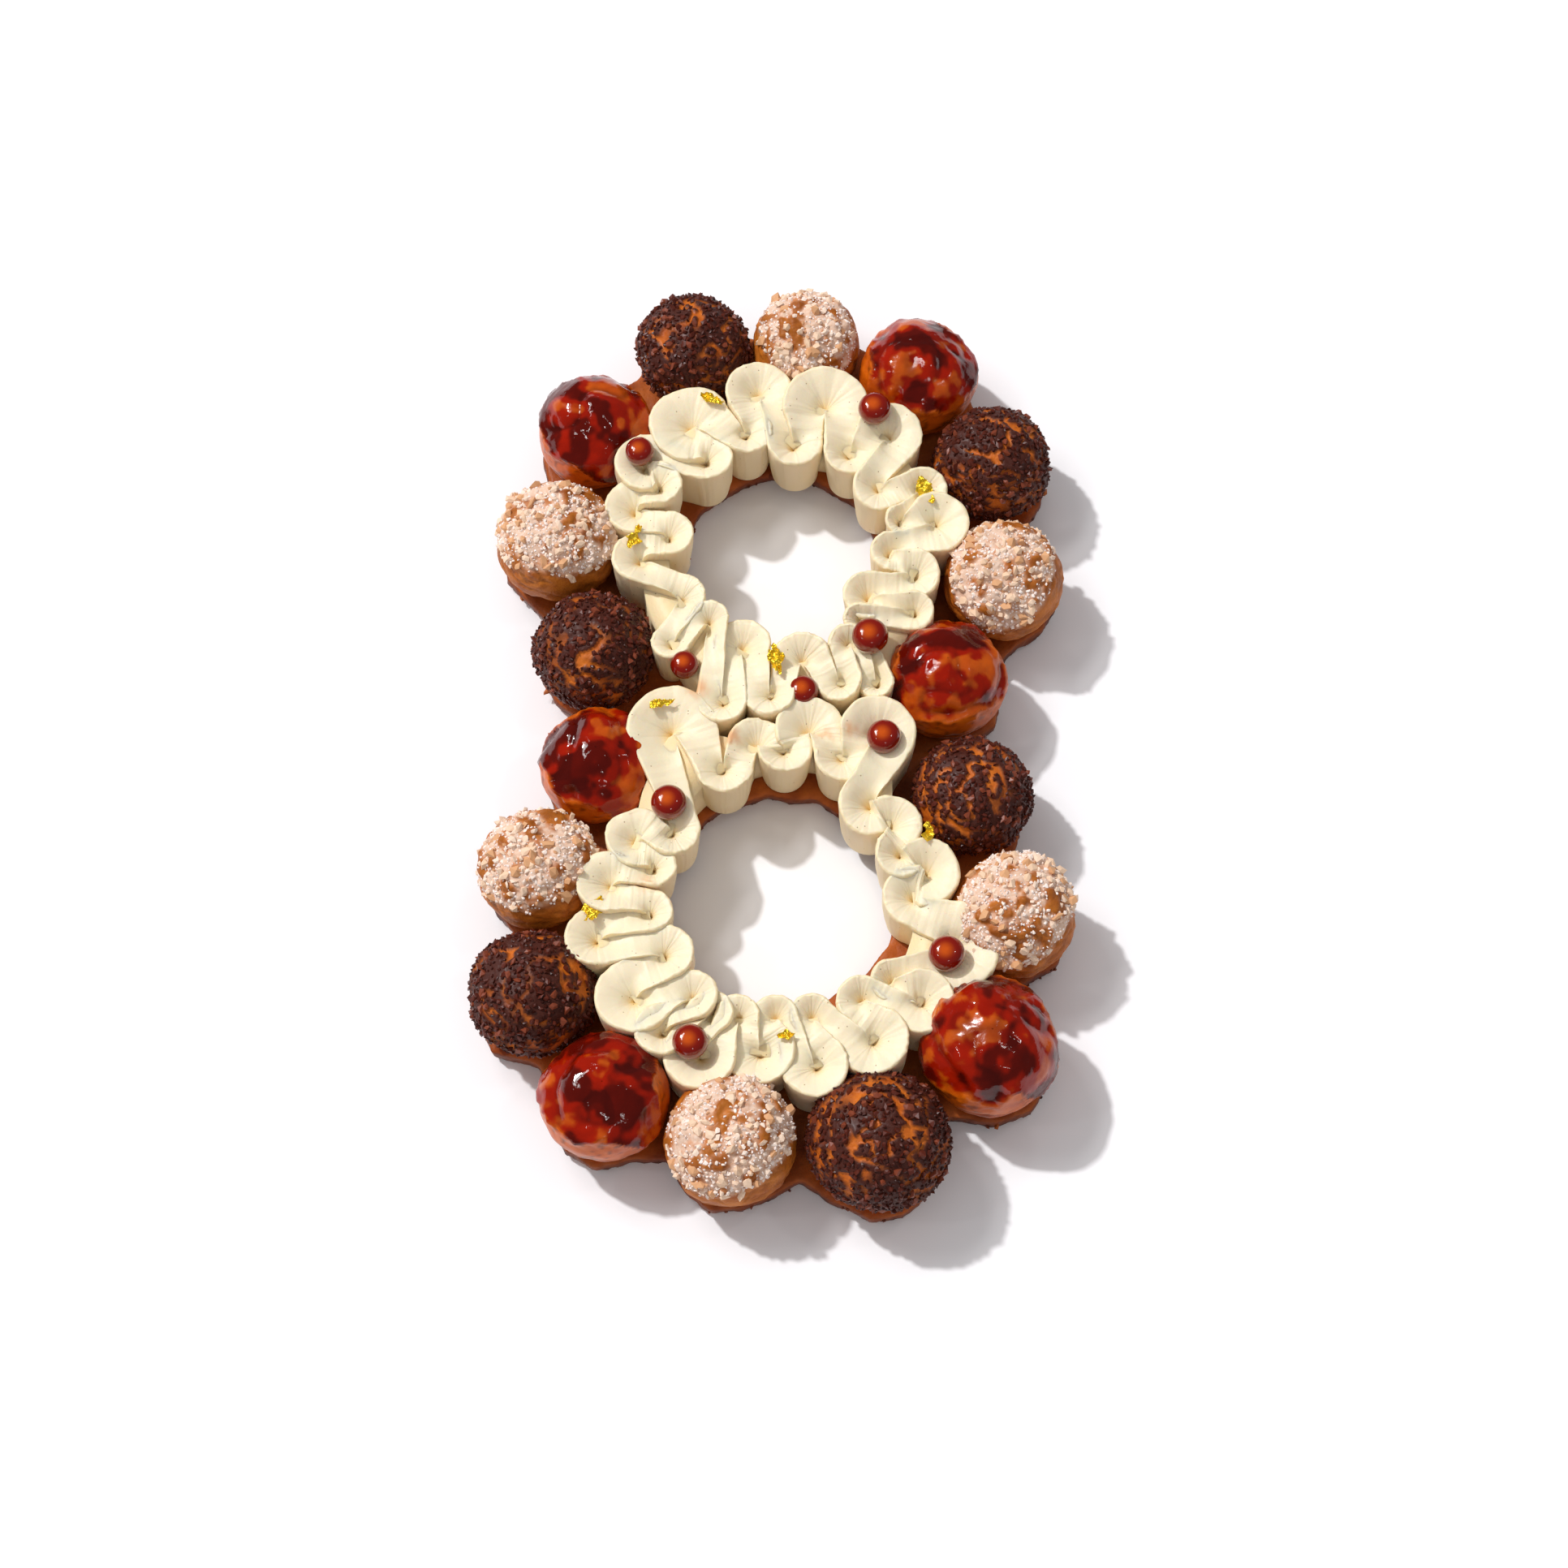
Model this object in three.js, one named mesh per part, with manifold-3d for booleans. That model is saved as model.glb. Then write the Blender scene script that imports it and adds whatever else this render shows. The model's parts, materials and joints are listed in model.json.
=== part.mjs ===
// Number cake in the shape of a figure eight, in millimetres, +Z up.
// It lies flat on a baked pastry base with two round holes. Eighteen choux puffs stand round the
// outside in a repeating order of three finishes, two rings of zigzag-piped cream fill the inside,
// and glazed caramel pearls and flakes of gold leaf lie on the cream.
// +Y points to the top of the figure and the base rests on Z = 0.
import * as THREE from 'three';
import { mergeVertices } from 'three/addons/utils/BufferGeometryUtils.js';
import Module from 'manifold-3d';

const wasm = await Module();
wasm.setup();

// Space left between two pieces that touch, and the step by which a cutting form is grown.
const GAP = 0.3;
const DEGREE = Math.PI / 180;
const GOLDEN_ANGLE = 137.5 * DEGREE;
// Corners of a cut solid are set on a grid of this step, so that none lie almost together.
const GRID = 0.01;
const SETTLING_PASSES = 3;
// Corners closer than this are one corner.
const WELD = 1e-4;
// A cutting form runs this far past what it cuts, and a height is probed from this far up.
const OVERRUN = 1;
const PROBE_FROM = 100;

// Pastry base: an eight-shaped slab, lobed under the puffs and ragged along its edges.
const BASE = {
  height: 7.5,
  bandReach: 83,
  underPuff: 0.93,
  shoulder: 2.2,
  undercut: 1.6,
  ragged: 1.1,
  rimSteps: 60,
  holeSteps: 30,
  upperHole: { x: 3.6, y: 67.4, radius: 33.5 },
  lowerHole: { x: 2.6, y: -54.6, radius: 37.0 },
  seed: 11,
};

// The two circles on which the puffs stand.
const PUFF_RINGS = {
  upper: { x: 3.3, y: 71.4 },
  lower: { x: 0.2, y: -66.2 },
};

// Puffs clockwise from the top left: ring, finish, bearing in degrees, reach and diameter.
const PUFFS = [
  ['upper', 'chocolate', 113.6, 77.0, 39.8],
  ['upper', 'sugar', 83.5, 73.4, 37.4],
  ['upper', 'caramel', 52.2, 75.9, 40.4],
  ['upper', 'chocolate', 20.8, 75.7, 40.4],
  ['upper', 'sugar', 347.2, 75.2, 40.6],
  ['upper', 'caramel', 315.7, 75.5, 40.4],
  ['lower', 'chocolate', 34.2, 78.1, 40.4],
  ['lower', 'sugar', 1.7, 77.6, 41.0],
  ['lower', 'caramel', 327.9, 80.9, 45.0],
  ['lower', 'chocolate', 294.5, 80.8, 46.0],
  ['lower', 'sugar', 259.7, 74.4, 42.0],
  ['lower', 'caramel', 228.1, 79.6, 41.4],
  ['lower', 'chocolate', 197.7, 80.9, 41.6],
  ['lower', 'sugar', 166.3, 78.0, 39.6],
  ['lower', 'caramel', 136.5, 79.0, 38.4],
  ['upper', 'chocolate', 214.1, 75.4, 40.4],
  ['upper', 'sugar', 181.2, 75.2, 41.0],
  ['upper', 'caramel', 148.2, 74.9, 39.0],
];

// A choux puff: proportions of its diameter, the relief of its crust and what is baked onto it.
const CHOUX = {
  heightShare: 0.75,
  waistShare: 0.4,
  footAngle: 46,
  sides: 14,
  lowerSteps: 2,
  upperSteps: 4,
  dimple: 0.7,
  glazeFrom: 34,
  glazeRise: 0.45,
  glazeWave: 9,
  glazeLobes: 3,
  crumbs: { chocolate: 6, sugar: 7, caramel: 0 },
  crumbRadius: 1.9,
  crumbSpread: 0.2,
  crumbFrom: 34,
  crumbSeat: 0.98,
  seed: 100,
  crumbSeed: 150,
};

// Cream ribbon: heights above the table of its rim, of the middle of a fan and of its crease. The
// rim stands almost upright over its drawn-in foot, and an edge climbs to rim height early along
// a stroke, by the power fullness. Breadth widens the listed fans until neighbouring laps touch.
// Steps in the surface below smallestStep are smoothed away.
const CREAM = {
  rim: 31.5,
  fanMiddle: 29.2,
  middleShare: 0.42,
  crease: 24.5,
  breadth: 1.2,
  flare: -1.2,
  fullness: 2.6,
  fanSteps: 5,
  strokeSteps: 2,
  tightest: 0.96,
  rimSway: 1.3,
  smallestStep: 0.15,
};

// Turnings of the two cream rings, anticlockwise from the right: bearing and reach of the rim's
// tip and radius of the fan there. Outer and inner turnings take turns along the ribbon.
const CREAM_RINGS = {
  cream_upper: {
    x: 3.8, y: 66.9, seed: 3,
    outer: [
      [342, 54, 7.5], [5, 62, 9.0], [20, 58, 7.0], [47, 63, 9.5], [74, 65, 12.0], [99, 66, 9.5],
      [127, 66, 12.0], [150, 64, 9.0], [168, 61, 8.5], [190, 58, 8.0], [226, 60, 5.5], [251, 71, 7.0],
      [265, 66, 7.0], [289, 63, 6.5], [300, 67, 5.0], [327, 58, 6.0],
    ],
    inner: [
      [351, 29, 5.5], [8, 34, 4.5], [30, 28, 7.5], [55, 30, 7.5], [84, 26, 8.0], [108, 32, 7.5],
      [132, 30, 7.5], [156, 38, 7.0], [179, 30, 7.0], [213, 32, 7.0], [231, 33, 5.5], [251, 33, 8.0],
      [277, 36, 8.0], [298, 38, 5.5], [309, 34, 4.5], [322, 27, 7.0],
    ],
  },
  cream_lower: {
    x: 2.2, y: -60.2, seed: 8,
    outer: [
      [9, 59, 9.5], [33, 53, 8.5], [60, 77, 10.5], [80, 69, 9.5], [98, 62, 8.0], [121, 82, 12.5],
      [157, 60, 8.5], [176, 65, 9.0], [194, 70, 8.5], [217, 70, 10.5], [231, 68, 7.5],
      [245, 71, 10.0], [263, 64, 9.5], [281, 69, 9.0], [301, 69, 9.5], [321, 69, 9.0],
      [342, 73, 12.8],
    ],
    inner: [
      [19, 33, 7.0], [46, 32, 9.0], [67, 43, 8.0], [88, 42, 7.5], [112, 38, 8.0], [147, 32, 7.5],
      [166, 34, 6.5], [188, 34, 6.5], [209, 32, 8.0], [231, 36, 7.0], [241, 38, 6.0],
      [252, 36, 6.0], [268, 34, 6.0], [284, 35, 6.0], [306, 36, 6.5], [321, 39, 6.0],
      [359, 33, 8.5],
    ],
  },
};

// Caramel pearls: place on the cream and diameter.
const PEARLS = [
  [34.3, 112.6, 11.6], [-44.6, 96.8, 10.2], [-28.9, 20.5, 9.8], [10.0, 10.9, 10.8], [32.1, 28.6, 12.6],
  [36.3, -6.5, 11.8], [-33.4, -29.4, 12.2], [55.5, -81.2, 12.3], [-25.7, -110.7, 12.0],
];
// Its profile from the foot to the crown, in shares of its radius and height.
const PEARL = {
  heightShare: 0.82,
  sides: 10,
  profile: [[0, 0], [0.55, 0.04], [0.98, 0.29], [0.99, 0.54], [0.9, 0.77], [0, 1]],
  sink: 2.4,
  probes: 8,
  probeShare: 0.55,
  restsOn: 2,
};

// Flakes of gold leaf: place on the cream, length, width and the way they point in degrees.
const LEAVES = [
  [-20.6, 117.0, 9, 6, 150], [-46.3, 64.8, 11, 8, 65], [50.8, 82.7, 13, 7, 115], [1.3, 20.7, 13, 8, 100],
  [-37.0, 4.9, 11, 5, 20], [49.8, -40.3, 8, 4, 80], [-56.6, -65.8, 11, 7, 55], [4.6, -108.5, 9, 5, 10],
];
const LEAF = {
  thickness: 0.5,
  wave: 0.7,
  rippleAlong: 5,
  rippleAcross: 4,
  columns: 3,
  rows: 2,
  lift: 0.5,
  tip: 0.45,
  tear: 0.4,
  probes: 9,
  seed: 21,
};

// Finishes: colour, roughness and metalness.
const FINISHES = {
  pastry: [0xb9601f, 0.6, 0],
  chocolate: [0x43211c, 0.55, 0],
  sugar: [0xdcb48c, 0.75, 0],
  caramel: [0x8e1d06, 0.15, 0],
  cream: [0xf7ead0, 0.45, 0],
  pearl: [0x8a1c0a, 0.1, 0],
  gold: [0xf0c418, 0.3, 1],
};

/** Returns a function that gives the same run of numbers from 0 to 1 for the same seed. */
function seeded(seed) {
  let state = Math.imul(seed, 2654435761) >>> 0;
  return () => {
    state = (state + 0x6d2b79f5) >>> 0;
    let mixed = Math.imul(state ^ (state >>> 15), state | 1);
    mixed ^= mixed + Math.imul(mixed ^ (mixed >>> 7), mixed | 61);
    return ((mixed ^ (mixed >>> 14)) >>> 0) / 2 ** 32;
  };
}

/** Point at a bearing in degrees and a distance from a centre in the plan. */
function polar(centre, bearing, reach) {
  const angle = bearing * DEGREE;
  return new THREE.Vector2(centre.x + reach * Math.cos(angle), centre.y + reach * Math.sin(angle));
}

/** Sets a number on the grid. */
function onGrid(value) {
  return Math.round(value / GRID) * GRID;
}

/** Face seen from its other side, split into the same triangles. */
function flipped(face) {
  return [face[0], ...face.slice(1).reverse()];
}

/** Turns points and faces, given as corner numbers, into a solid with its corners on the grid. */
function solidOfFaces(points, faces) {
  const triangles = [];
  for (const face of faces) {
    for (let corner = 1; corner < face.length - 1; corner += 1) {
      triangles.push(face[0], face[corner], face[corner + 1]);
    }
  }
  return new wasm.Manifold(new wasm.Mesh({
    numProp: 3,
    vertProperties: new Float32Array(points.flatMap((point) => point.toArray().map(onGrid))),
    triVerts: new Uint32Array(triangles),
  }));
}

/** Turns a closed geometry into a solid, its shared corners merged. */
function solidOf(geometry) {
  const bare = geometry.clone();
  for (const name of Object.keys(bare.attributes)) {
    if (name !== 'position') bare.deleteAttribute(name);
  }
  const merged = mergeVertices(bare, WELD);
  return new wasm.Manifold(new wasm.Mesh({
    numProp: 3,
    vertProperties: new Float32Array(merged.attributes.position.array),
    triVerts: new Uint32Array(merged.index.array),
  }));
}

/** Turns a solid back into a geometry. */
function geometryOf(solid) {
  const mesh = solid.getMesh();
  const geometry = new THREE.BufferGeometry();
  geometry.setAttribute('position', new THREE.BufferAttribute(new Float32Array(mesh.vertProperties), 3));
  geometry.setIndex(new THREE.BufferAttribute(new Uint32Array(mesh.triVerts), 1));
  geometry.computeVertexNormals();
  return geometry;
}

/** Joins solids into one. */
function joined(solids) {
  return solids.reduce((whole, solid) => whole.add(solid));
}

/** Largest body of a solid: no scraps that a cut leaves loose and no hollows sealed inside. */
function largestOf(solid) {
  let body = solid;
  for (let pass = 0; pass < SETTLING_PASSES; pass += 1) {
    const geometry = geometryOf(body);
    const places = geometry.attributes.position.array;
    places.forEach((value, index) => { places[index] = onGrid(value); });
    const bodies = solidOf(geometry).decompose();
    body = bodies.reduce((best, other) => (other.volume() > best.volume() ? other : best));
  }
  return body;
}

/** Named mesh of a geometry in one of the finishes. */
function pieceOf(name, geometry, finish) {
  const [color, roughness, metalness] = FINISHES[finish];
  const material = new THREE.MeshStandardMaterial({ color, roughness, metalness });
  const mesh = new THREE.Mesh(geometry, material);
  mesh.name = name;
  return mesh;
}

/** Place, size and finish of each puff, worked out from the table. */
function puffPlaces() {
  return PUFFS.map(([ring, finish, bearing, reach, diameter], index) => ({
    name: `puff_${finish}_${String(index + 1).padStart(2, '0')}`,
    finish,
    centre: polar(PUFF_RINGS[ring], bearing, reach),
    radius: diameter / 2,
    height: diameter * CHOUX.heightShare,
    seed: CHOUX.seed + index,
    crumbSeed: CHOUX.crumbSeed + index,
  }));
}

/** Profile of a choux puff from the middle of its foot to its crown. */
function chouxProfile(radius, height) {
  const waist = height * CHOUX.waistShare;
  const foot = CHOUX.footAngle * DEGREE;
  const profile = [new THREE.Vector2(0, 0)];
  for (let step = 0; step < CHOUX.lowerSteps; step += 1) {
    const angle = foot * (1 - step / CHOUX.lowerSteps);
    profile.push(new THREE.Vector2(radius * Math.cos(angle), waist * (1 - Math.sin(angle) / Math.sin(foot))));
  }
  for (let step = 0; step < CHOUX.upperSteps; step += 1) {
    const angle = (90 * DEGREE * step) / CHOUX.upperSteps;
    profile.push(new THREE.Vector2(radius * Math.cos(angle), waist + (height - waist) * Math.sin(angle)));
  }
  profile.push(new THREE.Vector2(0, height));
  return profile;
}

/** Crumbs or nuts spread over the crown of a puff in a spiral, shaken a little. */
function crumbsOf(puff, grow) {
  const random = seeded(puff.crumbSeed);
  const count = CHOUX.crumbs[puff.finish];
  const waist = puff.height * CHOUX.waistShare;
  const lowest = Math.sin(CHOUX.crumbFrom * DEGREE);
  return Array.from({ length: count }, (_, index) => {
    const sine = lowest + (1 - lowest) * ((index + 0.5 + 0.5 * random()) / (count + 0.5));
    const cosine = Math.sqrt(1 - sine * sine);
    const turn = index * GOLDEN_ANGLE + random();
    const radius = CHOUX.crumbRadius * (1 + CHOUX.crumbSpread * (2 * random() - 1));
    // A face of an octahedron lies at its corner radius over the root of three.
    const crumb = new THREE.OctahedronGeometry(radius + grow * Math.sqrt(3));
    crumb.rotateX(random() * Math.PI);
    crumb.rotateZ(random() * Math.PI);
    const seat = puff.radius * CHOUX.crumbSeat;
    crumb.translate(
      seat * cosine * Math.cos(turn),
      seat * cosine * Math.sin(turn),
      waist + (puff.height - waist) * CHOUX.crumbSeat * sine,
    );
    return solidOf(crumb);
  });
}

/** Height added to the crust of a caramel puff where its glaze lies. */
function glazeRise(latitude, bearing, seed) {
  const edge = CHOUX.glazeFrom + CHOUX.glazeWave * Math.sin(CHOUX.glazeLobes * bearing + seed);
  return latitude > edge ? CHOUX.glazeRise : 0;
}

/** A puff standing on the base, its crust dented at random, grown outward by a distance. */
function chouxSolid(puff, grow = 0) {
  const radius = puff.radius - GAP / 2;
  const lathe = new THREE.LatheGeometry(chouxProfile(radius, puff.height), CHOUX.sides);
  lathe.rotateX(Math.PI / 2);
  for (const name of ['normal', 'uv']) lathe.deleteAttribute(name);
  const skin = mergeVertices(lathe, WELD);
  const places = skin.attributes.position;
  const random = seeded(puff.seed);
  const point = new THREE.Vector3();
  const middle = new THREE.Vector3(0, 0, puff.height * CHOUX.waistShare);
  for (let corner = 0; corner < places.count; corner += 1) {
    point.fromBufferAttribute(places, corner);
    const dent = CHOUX.dimple * random();
    if (point.z > GRID) {
      const outward = point.clone().sub(middle);
      const latitude = Math.atan2(outward.z, Math.hypot(outward.x, outward.y)) / DEGREE;
      const glaze = puff.finish === 'caramel'
        ? glazeRise(latitude, Math.atan2(point.y, point.x), puff.seed) : 0;
      const length = outward.length();
      const relief = grow > 0 ? glaze + grow : glaze - dent;
      point.copy(middle).addScaledVector(outward, (length + relief) / length);
    } else if (grow > 0) {
      point.z = -OVERRUN;
      point.multiply(new THREE.Vector3(1 + grow / radius, 1 + grow / radius, 1));
    }
    places.setXYZ(corner, point.x, point.y, point.z);
  }
  const solids = [solidOf(skin), ...crumbsOf(puff, grow)];
  return largestOf(joined(solids)).translate([puff.centre.x, puff.centre.y, BASE.height + GAP]);
}

/** Ragged closed outline at given reaches round a centre, as a shape or a hole. */
function raggedLoop(centre, steps, reachAt, random, target) {
  const points = Array.from({ length: steps }, (_, step) => {
    const bearing = (360 * step) / steps;
    const ragged = BASE.ragged * (2 * random() - 1);
    return polar(centre, bearing, reachAt(bearing) + ragged);
  });
  return target.setFromPoints(points);
}

/** Reach of the base's outer edge at a bearing: the band, or further where a puff stands. */
function baseReach(centre, bearing, puffs) {
  const direction = polar({ x: 0, y: 0 }, bearing, 1);
  let reach = BASE.bandReach;
  for (const puff of puffs) {
    const offset = puff.centre.clone().sub(centre);
    const along = offset.dot(direction);
    const across = Math.abs(offset.cross(direction));
    const lobe = puff.radius * BASE.underPuff;
    if (along > 0 && across < lobe) reach = Math.max(reach, along + Math.sqrt(lobe * lobe - across * across));
  }
  return reach;
}

/** Layer of the base between two heights, drawn in or out from its outline by an amount. */
function baseLayer(from, to, inset, puffs) {
  const random = seeded(BASE.seed);
  const rings = [
    [PUFF_RINGS.upper, puffs.filter((puff) => puff.centre.y > 0)],
    [PUFF_RINGS.lower, puffs.filter((puff) => puff.centre.y <= 0)],
  ];
  const discs = rings.map(([ring, ringPuffs]) => {
    const centre = new THREE.Vector2(ring.x, ring.y);
    const reachAt = (bearing) => baseReach(centre, bearing, ringPuffs) - inset;
    const outline = raggedLoop(ring, BASE.rimSteps, reachAt, random, new THREE.Shape());
    return new THREE.ExtrudeGeometry(outline, { depth: to - from, bevelEnabled: false });
  });
  const holes = [BASE.upperHole, BASE.lowerHole].map((hole) => {
    const outline = raggedLoop(hole, BASE.holeSteps, () => hole.radius + inset, random, new THREE.Shape());
    const depth = to - from + 2 * OVERRUN;
    const plug = new THREE.ExtrudeGeometry(outline, { depth, bevelEnabled: false });
    return plug.translate(0, 0, -OVERRUN);
  });
  const slab = joined(discs.map(solidOf));
  return holes.map(solidOf).reduce((whole, hole) => whole.subtract(hole), slab).translate([0, 0, from]);
}

/** The baked base: a foot drawn in underneath and a wider upper layer with a soft shoulder. */
function baseSolid(puffs) {
  const foot = baseLayer(0, BASE.shoulder, BASE.undercut, puffs);
  const body = baseLayer(BASE.shoulder, BASE.height, 0, puffs);
  return foot.add(body);
}

/** Turnings of a cream ring in piping order, each with its crease, fan, side and rim height. */
function turningsOf(ring, grow) {
  const random = seeded(ring.seed);
  const turnings = [];
  ring.outer.forEach((outer, index) => {
    for (const [side, [bearing, reach, listed]] of [[1, outer], [-1, ring.inner[index]]]) {
      const fan = listed * CREAM.breadth;
      const crease = polar(ring, bearing, reach - side * fan);
      const rim = CREAM.rim + CREAM.rimSway * (2 * random() - 1);
      turnings.push({ side, crease, fan: fan + grow, rim: rim + grow });
    }
  });
  return turnings;
}

/** Direction of the stroke that runs from one turning of the ribbon to the next. */
function strokeDirection(from, to) {
  const span = to.crease.clone().sub(from.crease);
  const sine = Math.min(CREAM.tightest, (from.fan + to.fan) / 2 / span.length());
  return span.normalize().rotateAround(new THREE.Vector2(), from.side * Math.asin(sine));
}

/** Unit vector from the crease of a turning to its rim, square to the ribbon's direction. */
function rimDirection(direction, side) {
  return new THREE.Vector2(direction.y, -direction.x).multiplyScalar(side);
}

/** Heights over the table that belong to a turning's rim, fan middle and crease. */
function fanHeights(turning) {
  const drop = turning.rim - CREAM.rim;
  return { rim: turning.rim, middle: CREAM.fanMiddle + drop, crease: CREAM.crease + drop };
}

/** Fan of cream round a crease, from the rim direction it comes in with to the one it leaves. */
function fanSolid(turning, arriving, leaving, floor) {
  const start = Math.atan2(arriving.y, arriving.x);
  let sweep = Math.atan2(leaving.y, leaving.x) - start;
  while (sweep * turning.side < 0) sweep += 2 * Math.PI * turning.side;
  const heights = fanHeights(turning);
  const { crease, fan, side } = turning;
  const points = [
    new THREE.Vector3(crease.x, crease.y, heights.crease), new THREE.Vector3(crease.x, crease.y, floor),
  ];
  for (let step = 0; step <= CREAM.fanSteps; step += 1) {
    const angle = start + (sweep * step) / CREAM.fanSteps;
    const at = (reach, z) => new THREE.Vector3(
      crease.x + reach * Math.cos(angle), crease.y + reach * Math.sin(angle), z,
    );
    points.push(at(fan * CREAM.middleShare, heights.middle), at(fan, heights.rim), at(fan + CREAM.flare, floor));
  }
  const faces = [];
  for (let step = 0; step < CREAM.fanSteps; step += 1) {
    const [middle, rim, foot] = [2, 3, 4].map((row) => row + 3 * step);
    faces.push([0, middle, middle + 3], [middle, rim, rim + 3, middle + 3]);
    faces.push([rim, foot, foot + 3, rim + 3], [1, foot + 3, foot]);
  }
  const last = 2 + 3 * CREAM.fanSteps;
  faces.push([1, 4, 3, 2, 0], [1, 0, last, last + 1, last + 2]);
  return solidOfFaces(points, side > 0 ? faces : faces.map(flipped));
}

/** Straight stroke between two fans, its top rolling over from one rim to the other. */
function strokeSolid(from, to, direction, floor) {
  const out = rimDirection(direction, from.side);
  const [heightsFrom, heightsTo] = [fanHeights(from), fanHeights(to)];
  const points = [];
  for (let step = 0; step <= CREAM.strokeSteps; step += 1) {
    const t = step / CREAM.strokeSteps;
    const creaseSide = from.crease.clone();
    const rimSide = from.crease.clone().addScaledVector(out, from.fan);
    creaseSide.lerp(to.crease.clone().addScaledVector(out, -to.fan), t);
    rimSide.lerp(to.crease, t);
    const share = THREE.MathUtils.lerp(CREAM.middleShare, 1 - CREAM.middleShare, t);
    const middle = creaseSide.clone().lerp(rimSide, share);
    const footRim = rimSide.clone().addScaledVector(out, CREAM.flare * (1 - t));
    const footCrease = creaseSide.clone().addScaledVector(out, -CREAM.flare * t);
    const rising = 1 - (1 - t) ** CREAM.fullness;
    const falling = t ** CREAM.fullness;
    const creaseZ = THREE.MathUtils.lerp(heightsFrom.crease, heightsTo.rim, rising);
    const middleZ = THREE.MathUtils.lerp(heightsFrom.middle, heightsTo.middle, t);
    const rimZ = THREE.MathUtils.lerp(heightsFrom.rim, heightsTo.crease, falling);
    points.push(
      new THREE.Vector3(creaseSide.x, creaseSide.y, creaseZ),
      new THREE.Vector3(middle.x, middle.y, middleZ),
      new THREE.Vector3(rimSide.x, rimSide.y, rimZ),
      new THREE.Vector3(footRim.x, footRim.y, floor),
      new THREE.Vector3(footCrease.x, footCrease.y, floor),
    );
  }
  const faces = [[4, 3, 2, 1, 0]];
  for (let step = 0; step < CREAM.strokeSteps; step += 1) {
    for (let row = 0; row < 5; row += 1) {
      const [here, beside] = [5 * step + row, 5 * step + ((row + 1) % 5)];
      faces.push([here, beside, beside + 5, here + 5]);
    }
  }
  const end = 5 * CREAM.strokeSteps;
  faces.push([end + 3, end + 4, end, end + 1, end + 2]);
  return solidOfFaces(points, from.side > 0 ? faces : faces.map(flipped));
}

/** A whole ring of piped cream, grown outward by a distance. */
function creamSolid(ring, grow = 0) {
  const floor = BASE.height + GAP - (grow > 0 ? OVERRUN : 0);
  const turnings = turningsOf(ring, grow);
  const count = turnings.length;
  const directions = turnings.map((turning, index) => strokeDirection(turning, turnings[(index + 1) % count]));
  const solids = [];
  turnings.forEach((turning, index) => {
    const next = turnings[(index + 1) % count];
    const arriving = rimDirection(directions[(index + count - 1) % count], turning.side);
    const leaving = rimDirection(directions[index], turning.side);
    solids.push(fanSolid(turning, arriving, leaving, floor));
    solids.push(strokeSolid(turning, next, directions[index], floor));
  });
  return joined(solids);
}

/** Highest point of some meshes at a place, or the base's top where none of them lies. */
function heightAt(meshes, x, y) {
  const ray = new THREE.Raycaster(new THREE.Vector3(x, y, PROBE_FROM), new THREE.Vector3(0, 0, -1));
  const hits = ray.intersectObjects(meshes, false);
  return hits.length > 0 ? hits[0].point.z : BASE.height;
}

/** Heights of the cream at a point and in a circle round it. */
function heightsRound(meshes, x, y, reach) {
  const heights = [heightAt(meshes, x, y)];
  for (let step = 0; step < PEARL.probes; step += 1) {
    const place = polar({ x, y }, (360 * step) / PEARL.probes, reach);
    heights.push(heightAt(meshes, place.x, place.y));
  }
  return heights;
}

/** A pearl: a bead with a low crown, drawn in at its foot, grown outward by a distance. */
function pearlSolid([x, y, diameter], z, grow = 0) {
  const radius = diameter / 2 + grow;
  const height = diameter * PEARL.heightShare + 2 * grow;
  const profile = PEARL.profile.map(([reach, rise]) => new THREE.Vector2(radius * reach, height * rise));
  const bead = new THREE.LatheGeometry(profile, PEARL.sides);
  bead.rotateX(Math.PI / 2);
  return solidOf(bead).translate([x, y, z - grow]);
}

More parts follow.
